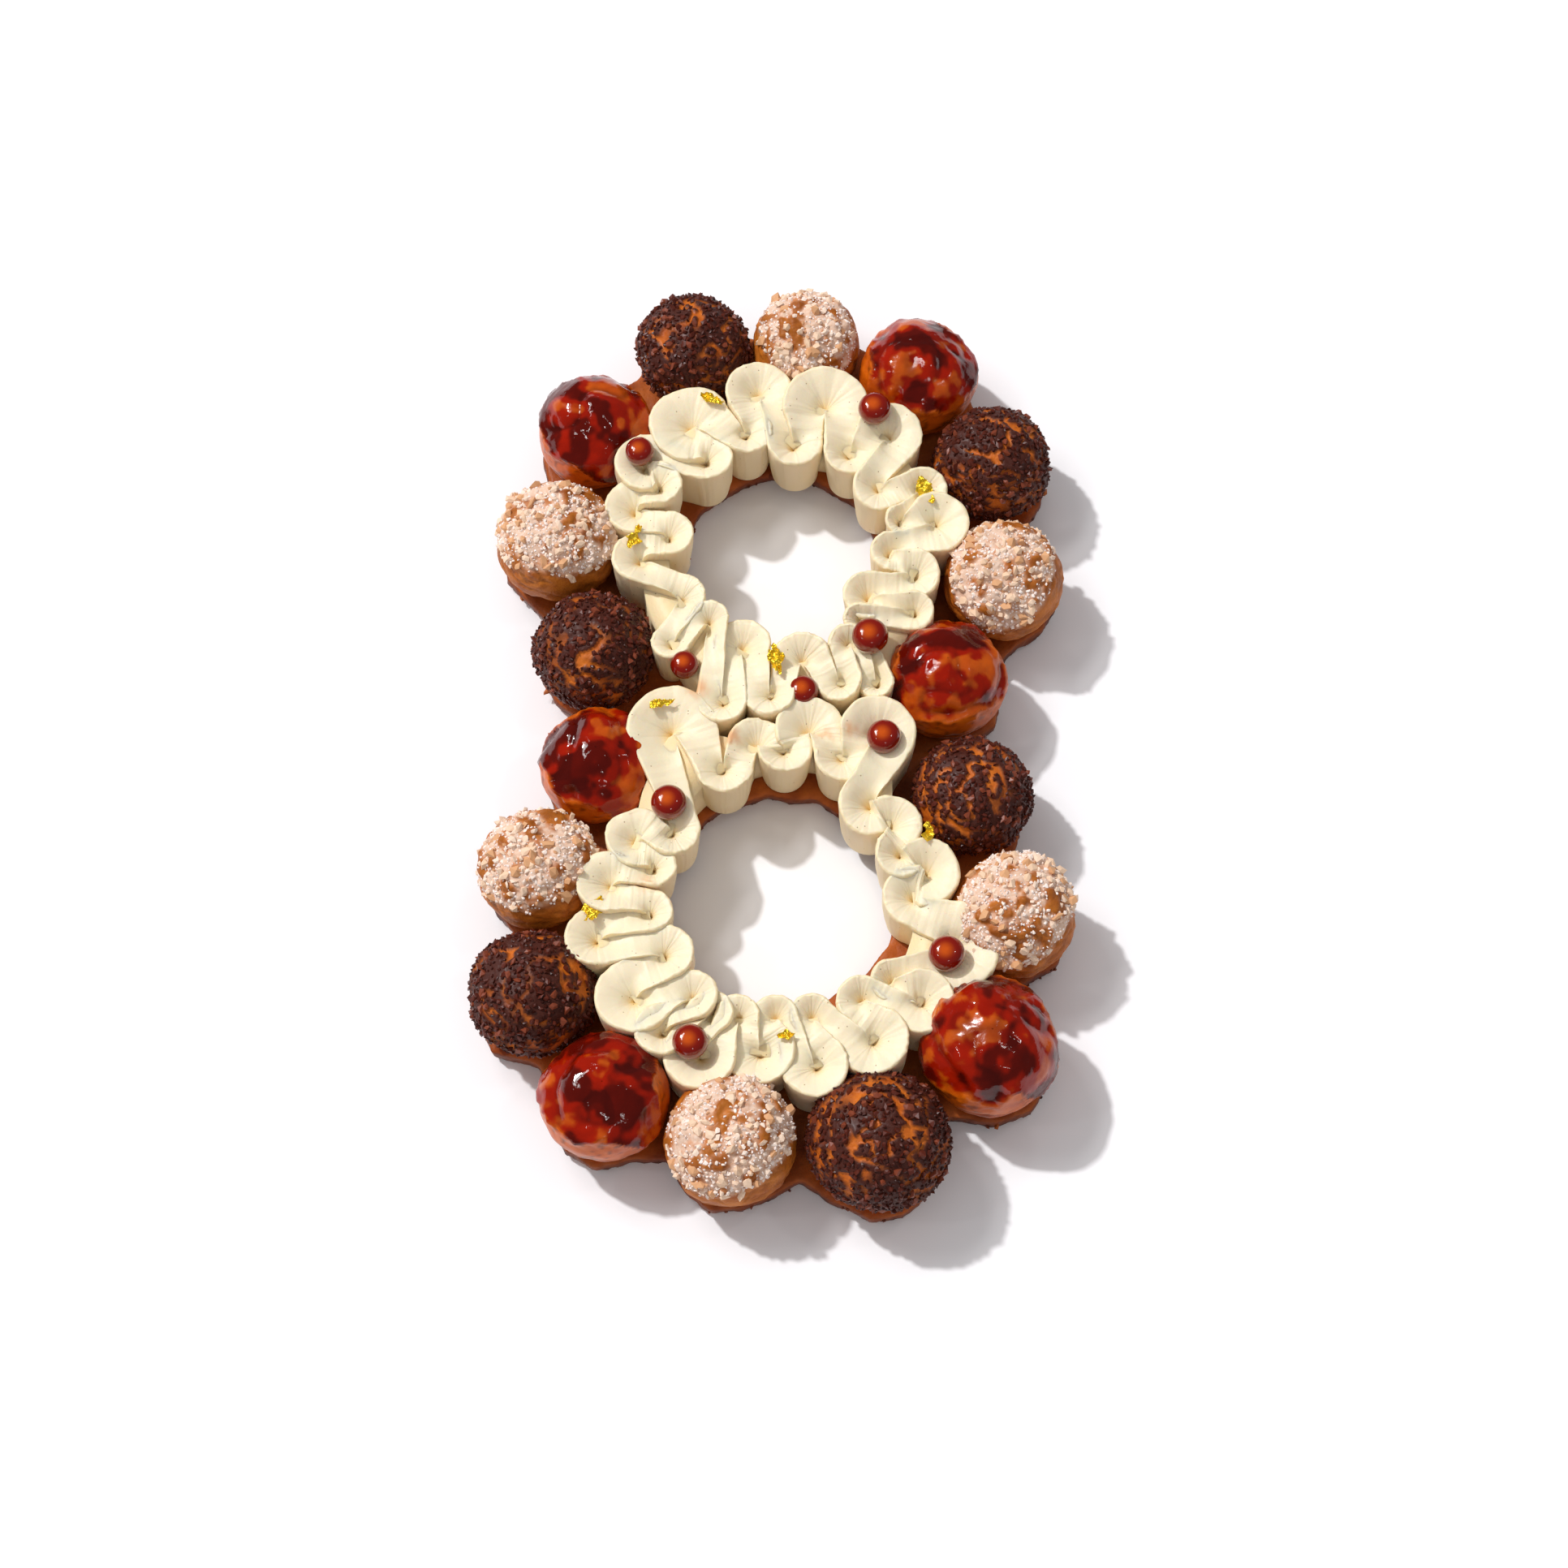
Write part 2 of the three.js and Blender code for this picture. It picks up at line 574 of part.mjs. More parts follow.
/** A flake of gold leaf: a thin wavy plate, both faces split alike, clear above the cream. */
function leafGeometry([x, y, length, width, bearing], meshes, seed) {
  const along = polar({ x: 0, y: 0 }, bearing, 1);
  const across = new THREE.Vector2(-along.y, along.x);
  const spot = (u, v) => along.clone().multiplyScalar(u * length).addScaledVector(across, v * width);
  const heights = [];
  for (let probe = 0; probe < LEAF.probes ** 2; probe += 1) {
    const [u, v] = [probe % LEAF.probes, Math.floor(probe / LEAF.probes)].map((p) => p / (LEAF.probes - 1) - 0.5);
    const place = spot(u, v);
    heights.push(heightAt(meshes, x + place.x, y + place.y));
  }
  const ground = Math.max(...heights) + LEAF.lift;
  const points = [];
  for (const side of [0, 1]) {
    const shake = seeded(seed);
    for (let row = 0; row <= LEAF.rows; row += 1) {
      for (let column = 0; column <= LEAF.columns; column += 1) {
        const [u, v] = [column / LEAF.columns - 0.5, row / LEAF.rows - 0.5];
        const narrow = 1 - LEAF.tip * Math.abs(2 * u) * (1 + LEAF.tear * (2 * shake() - 1));
        const place = spot(u, v * narrow);
        const ripple = 1 + Math.sin(LEAF.rippleAlong * u + LEAF.rippleAcross * v + seed);
        const z = ground + LEAF.wave * ripple * shake() + side * LEAF.thickness;
        points.push(new THREE.Vector3(x + place.x, y + place.y, z));
      }
    }
  }
  const columns = LEAF.columns + 1;
  const layer = columns * (LEAF.rows + 1);
  const faces = [];
  for (let row = 0; row < LEAF.rows; row += 1) {
    for (let column = 0; column < LEAF.columns; column += 1) {
      const corner = row * columns + column;
      const cell = [corner, corner + 1, corner + columns + 1, corner + columns];
      faces.push([cell[0], cell[3], cell[2]], [cell[0], cell[2], cell[1]]);
      faces.push([cell[0], cell[1], cell[2]].map((c) => c + layer), [cell[0], cell[2], cell[3]].map((c) => c + layer));
    }
  }
  const rim = [];
  for (let column = 0; column < columns - 1; column += 1) rim.push(column);
  for (let row = 0; row < LEAF.rows; row += 1) rim.push(row * columns + columns - 1);
  for (let column = columns - 1; column > 0; column -= 1) rim.push(LEAF.rows * columns + column);
  for (let row = LEAF.rows; row > 0; row -= 1) rim.push(row * columns);
  rim.forEach((corner, index) => {
    const next = rim[(index + 1) % rim.length];
    faces.push([corner, next, next + layer, corner + layer]);
  });
  return geometryOf(solidOfFaces(points, faces));
}

const group = new THREE.Group();
const puffs = puffPlaces();

group.add(pieceOf('base', geometryOf(baseSolid(puffs)), 'pastry'));
for (const puff of puffs) group.add(pieceOf(puff.name, geometryOf(chouxSolid(puff)), puff.finish));

// The cream is pressed against the puffs and the lower ring against the upper one.
const grownPuffs = joined(puffs.map((puff) => chouxSolid(puff, GAP)));
const lowerCream = largestOf(creamSolid(CREAM_RINGS.cream_lower).subtract(grownPuffs));
const upperCream = largestOf(creamSolid(CREAM_RINGS.cream_upper).subtract(grownPuffs)
  .subtract(creamSolid(CREAM_RINGS.cream_lower, GAP)));
const bareCreams = [upperCream, lowerCream].map((solid) => pieceOf('bare', geometryOf(solid), 'cream'));

const pearls = PEARLS.map((pearl) => {
  const [x, y, diameter] = pearl;
  const heights = heightsRound(bareCreams, x, y, (diameter / 2) * PEARL.probeShare);
  const support = heights.sort((a, b) => b - a)[PEARL.restsOn];
  return { pearl, z: Math.max(support - PEARL.sink, CREAM.crease) };
});
const sockets = joined(pearls.map(({ pearl, z }) => pearlSolid(pearl, z, GAP)));
const creams = { cream_upper: upperCream, cream_lower: lowerCream };
for (const [name, solid] of Object.entries(creams)) {
  const whole = largestOf(solid.subtract(sockets)).simplify(CREAM.smallestStep);
  group.add(pieceOf(name, geometryOf(whole), 'cream'));
}
pearls.forEach(({ pearl, z }, index) => {
  group.add(pieceOf(`pearl_${index + 1}`, geometryOf(pearlSolid(pearl, z)), 'pearl'));
});

const beneath = group.children.filter((mesh) => mesh.name.startsWith('cream') || mesh.name.startsWith('pearl'));
LEAVES.forEach((leaf, index) => {
  group.add(pieceOf(`gold_leaf_${index + 1}`, leafGeometry(leaf, beneath, LEAF.seed + index), 'gold'));
});

export default group;
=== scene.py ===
"""Dresses the number cake: choux puffs, piped cream, caramel pearls and gold leaf on a baked base."""

import json
import logging
import math
from dataclasses import dataclass
from enum import Enum
from itertools import product

import bpy
import numpy as np
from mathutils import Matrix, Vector

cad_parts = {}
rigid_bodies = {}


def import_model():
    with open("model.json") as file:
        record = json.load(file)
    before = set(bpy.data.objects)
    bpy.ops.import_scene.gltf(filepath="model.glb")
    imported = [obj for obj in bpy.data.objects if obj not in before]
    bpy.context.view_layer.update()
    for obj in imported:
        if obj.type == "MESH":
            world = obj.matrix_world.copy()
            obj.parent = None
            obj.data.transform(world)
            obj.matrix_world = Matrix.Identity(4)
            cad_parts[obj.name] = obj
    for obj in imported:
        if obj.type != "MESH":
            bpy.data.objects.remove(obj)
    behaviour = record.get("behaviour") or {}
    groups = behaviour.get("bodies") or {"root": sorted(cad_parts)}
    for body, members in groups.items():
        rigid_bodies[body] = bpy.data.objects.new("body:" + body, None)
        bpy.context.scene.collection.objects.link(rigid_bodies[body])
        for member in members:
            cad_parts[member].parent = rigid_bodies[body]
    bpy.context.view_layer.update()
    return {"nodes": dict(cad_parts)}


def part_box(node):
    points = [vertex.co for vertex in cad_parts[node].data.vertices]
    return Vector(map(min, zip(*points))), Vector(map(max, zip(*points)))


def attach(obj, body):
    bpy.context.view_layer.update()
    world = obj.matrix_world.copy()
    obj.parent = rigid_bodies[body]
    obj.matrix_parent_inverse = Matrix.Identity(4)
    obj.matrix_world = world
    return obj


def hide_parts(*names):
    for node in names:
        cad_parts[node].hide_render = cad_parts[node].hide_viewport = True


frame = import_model()

LOG = logging.getLogger("number_cake")
BODY = "root"
MM = 0.001
# Cream and puffs stand this far above the table, on the base's top.
FLOOR_OF_CREAM = 7.8
# Brings a sum of noises, each half as strong as the last, back to about -1 to 1.
OCTAVE_SHARE = 0.75

# Factors that scramble a lattice point and a seed into a key of 16 bits, and half the largest key.
AXIS_HASH = (73856093, 19349663, 83492791)
SEED_HASH = 2654435761
KEY_HASH = 1274126177
HALF_KEY = 32767.5
# Moves the lattice of each seed away from the others.
SEED_SHIFT = 17.13

Table = tuple[tuple[float, ...], ...]
# A piece, its points, its faces and how thickly grains lie at each point.
Skin = tuple[bpy.types.Object, np.ndarray, np.ndarray | list, np.ndarray]


class Ring(Enum):
    """The two rings of the figure eight."""

    UPPER = "upper"
    LOWER = "lower"


class Crust(Enum):
    """The three finishes of a choux puff."""

    CHOCOLATE = "chocolate"
    SUGAR = "sugar"
    CARAMEL = "caramel"


def linear(hex_colour: str) -> tuple[float, float, float, float]:
    """Turns an sRGB hex colour into linear red, green, blue and alpha.

    Args:
        hex_colour: six hexadecimal digits.

    Returns:
        The colour's linear channels and an alpha of 1.
    """
    channels = [int(hex_colour[at:at + 2], 16) / 255 for at in (0, 2, 4)]
    straight = [c / 12.92 if c <= 0.04045 else ((c + 0.055) / 1.055) ** 2.4 for c in channels]
    return (*straight, 1.0)


def per_metre(size_mm: float) -> float:
    """Texture scale at which a pattern's features measure size_mm."""
    return 1 / (size_mm * MM)


def add_node(
    tree: bpy.types.NodeTree,
    kind: str,
    settings: dict | None = None,
    values: dict | None = None,
    links: dict | None = None,
) -> bpy.types.Node:
    """Adds a node to a tree.

    Args:
        tree: the tree that the node joins.
        kind: the node's Blender type.
        settings: the node's own properties.
        values: input sockets, by name or number, and what each holds.
        links: input sockets, by name or number, and the output that feeds each.

    Returns:
        The new node.
    """
    node = tree.nodes.new(kind)
    for key, value in (settings or {}).items():
        setattr(node, key, value)
    for key, value in (values or {}).items():
        pick_socket(node.inputs, key).default_value = value
    for key, source in (links or {}).items():
        tree.links.new(source, pick_socket(node.inputs, key))
    return node


def pick_socket(sockets: bpy.types.bpy_prop_collection, key: str | int) -> bpy.types.NodeSocket:
    """The enabled socket of that name, or the one of that number."""
    if isinstance(key, int):
        return sockets[key]
    return next(socket for socket in sockets if socket.name == key and socket.enabled)


def smooth(t: np.ndarray | float) -> np.ndarray | float:
    """Smooth step of values clipped to 0..1."""
    t = np.clip(t, 0, 1)
    return t * t * (3 - 2 * t)


def lattice_noise(points: np.ndarray, size: float, seed: int) -> np.ndarray:
    """Smooth noise over space.

    Args:
        points: places, one row each, in millimetres.
        size: distance between the noise's lattice points, in millimetres.
        seed: number that picks the noise.

    Returns:
        One value from -1 to 1 a place.
    """
    place = np.asarray(points, float) / size + seed * SEED_SHIFT
    corner = np.floor(place).astype(np.int64)
    blend = smooth(place - corner)
    total = np.zeros(len(place))
    for step in product((0, 1), repeat=3):
        key = np.full(len(place), seed * SEED_HASH)
        weight = np.ones(len(place))
        for axis, up in enumerate(step):
            key = key ^ (corner[:, axis] + up) * AXIS_HASH[axis]
            weight = weight * (blend[:, axis] if up else 1 - blend[:, axis])
        key = (key ^ (key >> 13)) * KEY_HASH & 0xFFFFFFFF
        key = (key ^ (key >> 16)) & 0xFFFF
        total += weight * (key / HALF_KEY - 1)
    return total


def fractal(points: np.ndarray, size: float, octaves: int, seed: int) -> np.ndarray:
    """Sum of finer and finer smooth noise, about -1 to 1.

    Args:
        points: places, one row each, in millimetres.
        size: size of the coarsest noise, in millimetres.
        octaves: how many noises are added, each half as coarse and half as strong.
        seed: number that picks the noise.

    Returns:
        One value a place.
    """
    total = np.zeros(len(points))
    for octave in range(octaves):
        total += lattice_noise(points, size / 2 ** octave, seed + octave) / 2 ** octave
    return total * OCTAVE_SHARE


def make_piece(
    name: str,
    points: np.ndarray,
    faces: list | np.ndarray,
    material: bpy.types.Material,
    attributes: dict[str, np.ndarray] | None = None,
    flat: bool = False,
) -> bpy.types.Object:
    """Makes a mesh object from points in millimetres.

    Args:
        name: the piece's name.
        points: corner places, one row each, in the row frame.
        faces: corner numbers of each face, anticlockwise from outside.
        material: the piece's material.
        attributes: numbers kept at each corner for the material and for scattering.
        flat: shades each face flat.

    Returns:
        The new object, at the origin.
    """
    mesh = bpy.data.meshes.new(name)
    mesh.from_pydata((np.asarray(points) * MM).tolist(), [], [list(map(int, face)) for face in faces])
    mesh.polygons.foreach_set("use_smooth", [not flat] * len(mesh.polygons))
    for key, values in (attributes or {}).items():
        layer = mesh.attributes.new(key, "FLOAT", "POINT")
        layer.data.foreach_set("value", np.asarray(values, np.float32))
    mesh.materials.append(material)
    mesh.update()
    piece = bpy.data.objects.new(name, mesh)
    bpy.context.scene.collection.objects.link(piece)
    return piece


def place_piece(piece: bpy.types.Object, slot: str, *replaced: str) -> None:
    """Puts a finished piece on the body, in place of CAD nodes."""
    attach(piece, BODY)
    if replaced:
        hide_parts(*replaced)
    LOG.info("%s: %d faces, for %s", piece.name, len(piece.data.polygons), ", ".join(replaced) or "itself")


def grid_faces(rows: int, columns: int, closed: bool) -> np.ndarray:
    """Quads of a grid of points.

    Args:
        rows: rows of points; a row's points follow each other.
        columns: points in a row.
        closed: whether the last column joins the first.

    Returns:
        Corner numbers, four a face.
    """
    row, column = np.meshgrid(np.arange(rows - 1), np.arange(columns - (0 if closed else 1)), indexing="ij")
    beside = (column + 1) % columns
    here = row * columns
    above = here + columns
    return np.stack([here + column, here + beside, above + beside, above + column], axis=-1).reshape(-1, 4)


def turned_grid(reach: np.ndarray, rise: np.ndarray, sides: int) -> np.ndarray:
    """Points of a profile turned round the axis.

    Args:
        reach: distance of each of the profile's points from the axis.
        rise: its height.
        sides: points round the axis.

    Returns:
        The points, one row each, a turn of the profile's first point first.
    """
    angle = np.linspace(0, math.tau, sides, endpoint=False)
    return np.stack([reach[:, None] * np.cos(angle), reach[:, None] * np.sin(angle),
                     np.repeat(rise[:, None], sides, axis=1)], axis=-1).reshape(-1, 3)


def evaluated_mesh(piece: bpy.types.Object) -> bpy.types.Mesh:
    """A new mesh of an object as its modifiers leave it."""
    graph = bpy.context.evaluated_depsgraph_get()
    return bpy.data.meshes.new_from_object(piece.evaluated_get(graph), depsgraph=graph)


@dataclass(frozen=True)
class Noise:
    """A smooth noise over a piece's points: its size in millimetres, its octaves and its seed."""

    size: float
    octaves: int
    seed: int

    def over(self, points: np.ndarray, seed: int = 0) -> np.ndarray:
        """The noise's value at each point, for a piece's own seed."""
        return fractal(points, self.size, self.octaves, self.seed + seed)


class Finish:
    """A material under construction: its tree and its Principled shader."""

    name: str = "finish"

    def __init__(self) -> None:
        """Makes the empty material."""
        self.material = bpy.data.materials.new(self.name)
        self.material.use_nodes = True
        self.tree = self.material.node_tree
        self.shader = self.tree.nodes["Principled BSDF"]
        self.place = add_node(self.tree, "ShaderNodeTexCoord").outputs["Object"]
        self.dress()

    def dress(self) -> None:
        """Adds the finish's own nodes."""

    def add(self, kind: str, settings: dict | None = None, values: dict | None = None,
            links: dict | None = None) -> bpy.types.Node:
        """Adds a node to this material's tree."""
        return add_node(self.tree, kind, settings, values, links)

    def feed(self, **sources: bpy.types.NodeSocket) -> None:
        """Links outputs to the shader's inputs, named with underscores for spaces."""
        for key, source in sources.items():
            self.tree.links.new(source, self.shader.inputs[key.replace("_", " ")])

    def set_shader(self, **constants: float | tuple) -> None:
        """Sets the shader's own inputs, named with underscores for spaces."""
        for key, value in constants.items():
            self.shader.inputs[key.replace("_", " ")].default_value = value


class WhippedCream(Finish):
    """Vanilla whipped cream: satin, faintly translucent, with painted shade of deep yellow in its creases."""

    name = "whipped_vanilla_cream"
    LIT = "efe1c2"
    CREASE_SHADE = "e8bf6c"
    TOAST = "dfa26c"
    SPECK = "8a6a3c"
    SPECK_CELL = 3.4
    SPECK_REACH = (0.045, 0.085)
    SPECK_SHADE = 0.75
    GRAIN = 0.9
    GRAIN_SHARE = 0.5
    BUMP = 0.00035

    def dress(self) -> None:
        """Mixes cream, painted crease shade, toasted patches and vanilla specks, with streaks along the fans.
        """
        # The attribute crease holds painted shade, deep yellow in the creases.
        crease_shade, toast, streaks = (
            self.add("ShaderNodeAttribute", {"attribute_name": name}).outputs["Fac"]
            for name in ("crease", "toast", "streak")
        )
        base = self.add("ShaderNodeMix", {"data_type": "RGBA"},
                        {"A": linear(self.LIT), "B": linear(self.CREASE_SHADE)}, {"Factor": crease_shade})
        cells = self.add("ShaderNodeTexVoronoi", {"feature": "F1"},
                         {"Scale": per_metre(self.SPECK_CELL)}, {"Vector": self.place})
        inner, outer = self.SPECK_REACH
        speck = self.add("ShaderNodeMapRange", None,
                         {"From Min": inner, "From Max": outer, "To Min": self.SPECK_SHADE, "To Max": 0.0},
                         {"Value": cells.outputs["Distance"]})
        colour = base.outputs["Result"]
        for shade, share in ((self.TOAST, toast), (self.SPECK, speck.outputs["Result"])):
            mixed = self.add("ShaderNodeMix", {"data_type": "RGBA"}, {"B": linear(shade)},
                             {"Factor": share, "A": colour})
            colour = mixed.outputs["Result"]
        grain = self.add("ShaderNodeTexNoise", None,
                         {"Scale": per_metre(self.GRAIN), "Detail": 3.0}, {"Vector": self.place})
        height = self.add("ShaderNodeMath", {"operation": "MULTIPLY_ADD"}, {1: self.GRAIN_SHARE},
                          {0: grain.outputs["Fac"], 2: streaks})
        bump = self.add("ShaderNodeBump", None, {"Strength": 0.5, "Distance": self.BUMP},
                        {"Height": height.outputs["Value"]})
        self.feed(Base_Color=colour, Normal=bump.outputs["Normal"])
        self.set_shader(Roughness=0.5, Subsurface_Weight=0.3, Subsurface_Radius=(1.0, 0.62, 0.3),
                        Subsurface_Scale=0.003, IOR=1.45)


class Choux(Finish):
    """Baked choux crust: golden orange, browner in folds, with a faint egg-wash gloss."""

    name = "baked_choux"
    PALE = "cf6f1c"
    DARK = "9a3c0c"
    COVER = "3a1710"
    BURNT_AND_SHADE = "240c08"
    COVER_BROWN = "522418"
    MOTTLE = 6.0
    FINE = 1.1
    ROUGH = 0.5
    COVER_ROUGH = 0.55
    BUMP = 0.0004
    BLOTCH = (0.35, 0.65)
    BLOTCH_SHARE = 0.55

    def dress(self) -> None:
        """Mixes the crust's browns and lays the cover's colour, then scorched colour and painted shade, over
        them.
        """
        tone, cover, burnt = (
            self.add("ShaderNodeAttribute", {"attribute_name": name}).outputs["Fac"]
            for name in ("tone", "cover", "burnt")
        )
        mottle = self.add("ShaderNodeTexNoise", None,
                          {"Scale": per_metre(self.MOTTLE), "Detail": 5.0, "Roughness": 0.6},
                          {"Vector": self.place})
        least, most = self.BLOTCH
        blotch = self.add("ShaderNodeMapRange", None,
                          {"From Min": least, "From Max": most, "To Min": 0.0, "To Max": self.BLOTCH_SHARE},
                          {"Value": mottle.outputs["Fac"]})
        brown = self.add("ShaderNodeMath", {"operation": "ADD", "use_clamp": True}, None,
                         {0: blotch.outputs["Result"], 1: tone})
        fine = self.add("ShaderNodeTexNoise", None,
                        {"Scale": per_metre(self.FINE), "Detail": 4.0}, {"Vector": self.place})
        crust, coat = (
            self.add("ShaderNodeMix", {"data_type": "RGBA"}, {"A": linear(one), "B": linear(other)},
                     {"Factor": share}).outputs["Result"]
            for one, other, share in ((self.PALE, self.DARK, brown.outputs["Value"]),
                                      (self.COVER, self.COVER_BROWN, fine.outputs["Fac"]))
        )
        whole = self.add("ShaderNodeMix", {"data_type": "RGBA"}, None,
                         {"Factor": cover, "A": crust, "B": coat})
        # Scorched colour, and painted shade in fold grooves, blister valleys and the split lip.
        shaded = self.add("ShaderNodeMix", {"data_type": "RGBA"}, {"B": linear(self.BURNT_AND_SHADE)},
                          {"Factor": burnt, "A": whole.outputs["Result"]})
        rough = self.add("ShaderNodeMapRange", None,
                         {"To Min": self.ROUGH, "To Max": self.COVER_ROUGH}, {"Value": cover})
        bump = self.add("ShaderNodeBump", None, {"Strength": 0.7, "Distance": self.BUMP},
                        {"Height": fine.outputs["Fac"]})
        self.feed(Base_Color=shaded.outputs["Result"], Roughness=rough.outputs["Result"],
                  Normal=bump.outputs["Normal"])
        self.gloss()

    def gloss(self) -> None:
        """Sets what is the same all over the crust."""
        self.set_shader(IOR=1.45, Specular_IOR_Level=0.25, Coat_Weight=0.06, Coat_Roughness=0.25)


class CraquelinChoux(Choux):
    """Choux under chocolate craquelin: dark, dry and cracked, orange in the cracks."""

    name = "craquelin_choux"


class SugaredChoux(Choux):
    """Choux dusted with icing sugar: golden brown folds, white powder on the crown."""

    name = "sugared_choux"
    PALE = "c87424"
    DARK = "8a3a0c"
    COVER = "ecd9cc"
    COVER_BROWN = "cf9c74"
    COVER_ROUGH = 0.85


class CaramelChoux(Choux):
    """Choux dipped in clear caramel: wet gloss over red brown, orange where the glaze is thin."""

    name = "caramel_choux"
    PALE = "da6a0c"
    DARK = "a83c06"
    COVER = "a21a02"
    COVER_BROWN = "7c0f02"
    BURNT_AND_SHADE = "260302"
    FINE = 5.0
    ROUGH = 0.34
    COVER_ROUGH = 0.07
    BUMP = 0.0005

    def gloss(self) -> None:
        """Lays the clear caramel as a coat over the whole crust."""
        self.set_shader(IOR=1.5, Specular_IOR_Level=0.4, Coat_Weight=0.15, Coat_Roughness=0.05)


class BakedPastry(Choux):
    """The base's pastry: orange brown and crumbly, burnt dark along its cut edges."""

    name = "baked_pastry"
    PALE = "bd6426"
    DARK = "84380f"
    COVER = "5c220e"
    COVER_BROWN = "7a3212"
    BURNT_AND_SHADE = "3a140a"
    MOTTLE = 9.0
    FINE = 1.6


class Grain(Finish):
    """Loose crumbs whose colour runs between two by each one's own tint, the last few in a third."""

    ONE: str
    OTHER: str
    THIRD: str
    THIRD_FROM: float
    ROUGH = 0.4
    SPECULAR = 0.35

    def dress(self) -> None:
        """Picks each crumb's colour from its tint."""
        tint = self.add("ShaderNodeAttribute", {"attribute_name": "tint"}).outputs["Fac"]
        pair = self.add("ShaderNodeMix", {"data_type": "RGBA"},
                        {"A": linear(self.ONE), "B": linear(self.OTHER)}, {"Factor": tint})
        odd = self.add("ShaderNodeMath", {"operation": "GREATER_THAN"}, {1: self.THIRD_FROM}, {0: tint})
        mixed = self.add("ShaderNodeMix", {"data_type": "RGBA"}, {"B": linear(self.THIRD)},
                         {"Factor": odd.outputs["Value"], "A": pair.outputs["Result"]})
        self.feed(Base_Color=mixed.outputs["Result"])
        self.set_shader(Roughness=self.ROUGH, IOR=1.5, Specular_IOR_Level=self.SPECULAR)


class ChocolateGrain(Grain):
    """Grains of chocolate craquelin: near-black brown with small glints."""

    name = "chocolate_craquelin_grain"
    ONE = "38120a"
    OTHER = "5a2214"
    THIRD = "7c3a24"
    THIRD_FROM = 0.92
    SPECULAR = 0.3


class NutBit(Grain):
    """Chopped blanched nuts and sugar: white to tan, a few toasted brown."""

    name = "chopped_nut"
    ONE = "f8eee8"
    OTHER = "e4bf9c"
    THIRD = "d4a074"
    THIRD_FROM = 0.93
    ROUGH = 0.7


class IcingSugar(Grain):
    """Icing sugar in small lumps: matt white."""

    name = "icing_sugar"
    ONE = "fbf6f4"
    OTHER = "ecd9d0"
    THIRD = "cf9c74"
    THIRD_FROM = 0.9
    ROUGH = 0.9


class BurntCrumb(Grain):
    """Crumbs along the base's edges: dark baked brown."""

    name = "burnt_pastry_crumb"
    ONE = "4a1a0c"
    OTHER = "8a3e18"
    THIRD = "b0602a"
    THIRD_FROM = 0.85
    ROUGH = 0.6


class CaramelPearl(Finish):
    """A crunchy pearl under clear caramel: mirror gloss, painted light of orange in its middle, brown at its
    side.
    """

    name = "caramel_pearl"
    SHELL = "7e1003"
    LIT_HEART = "c8520c"
    SIDE = "a0581c"
    GRAIN = 1.5
    BUMP = 0.0002

    def dress(self) -> None:
        """Runs the colour from the painted orange light in the middle out to the shell and down to the side.
        """
        heart, side = (
            self.add("ShaderNodeAttribute", {"attribute_name": name}).outputs["Fac"]
            for name in ("heart", "side")
        )
        lit = self.add("ShaderNodeMix", {"data_type": "RGBA"},
                       {"A": linear(self.SHELL), "B": linear(self.LIT_HEART)}, {"Factor": heart})
        whole = self.add("ShaderNodeMix", {"data_type": "RGBA"}, {"B": linear(self.SIDE)},
                         {"Factor": side, "A": lit.outputs["Result"]})
        ripple = self.add("ShaderNodeTexNoise", None, {"Scale": per_metre(self.GRAIN)},
                          {"Vector": self.place})
        bump = self.add("ShaderNodeBump", None, {"Strength": 0.15, "Distance": self.BUMP},
                        {"Height": ripple.outputs["Fac"]})
        self.feed(Base_Color=whole.outputs["Result"], Normal=bump.outputs["Normal"])
        self.set_shader(Roughness=0.15, IOR=1.5, Specular_IOR_Level=0.3, Coat_Weight=1.0, Coat_Roughness=0.04)


class WhiteCard(Finish):
    """The studio's floor: matt, faintly cool white."""

    name = "matt_white_card"
    WHITE = "f7f6f8"

    def dress(self) -> None:
        """Sets the plain card."""
        self.set_shader(Base_Color=linear(self.WHITE), Roughness=0.9, Specular_IOR_Level=0.1)


class GoldLeaf(Finish):
    """Edible gold leaf: beaten 23-carat gold, crinkled so that each facet glints."""

    name = "gold_leaf"
    GOLD = "f6cf36"
    CRINKLE = 0.8
    BUMP = 0.0004

    def dress(self) -> None:
        """Gives the metal its colour and its fine crinkles."""
        crinkle = self.add("ShaderNodeTexNoise", None,
                           {"Scale": per_metre(self.CRINKLE), "Detail": 3.0}, {"Vector": self.place})
        bump = self.add("ShaderNodeBump", None, {"Strength": 0.8, "Distance": self.BUMP},
                        {"Height": crinkle.outputs["Fac"]})
        self.feed(Normal=bump.outputs["Normal"])
        self.set_shader(Base_Color=linear(self.GOLD), Metallic=0.7, Roughness=0.3)


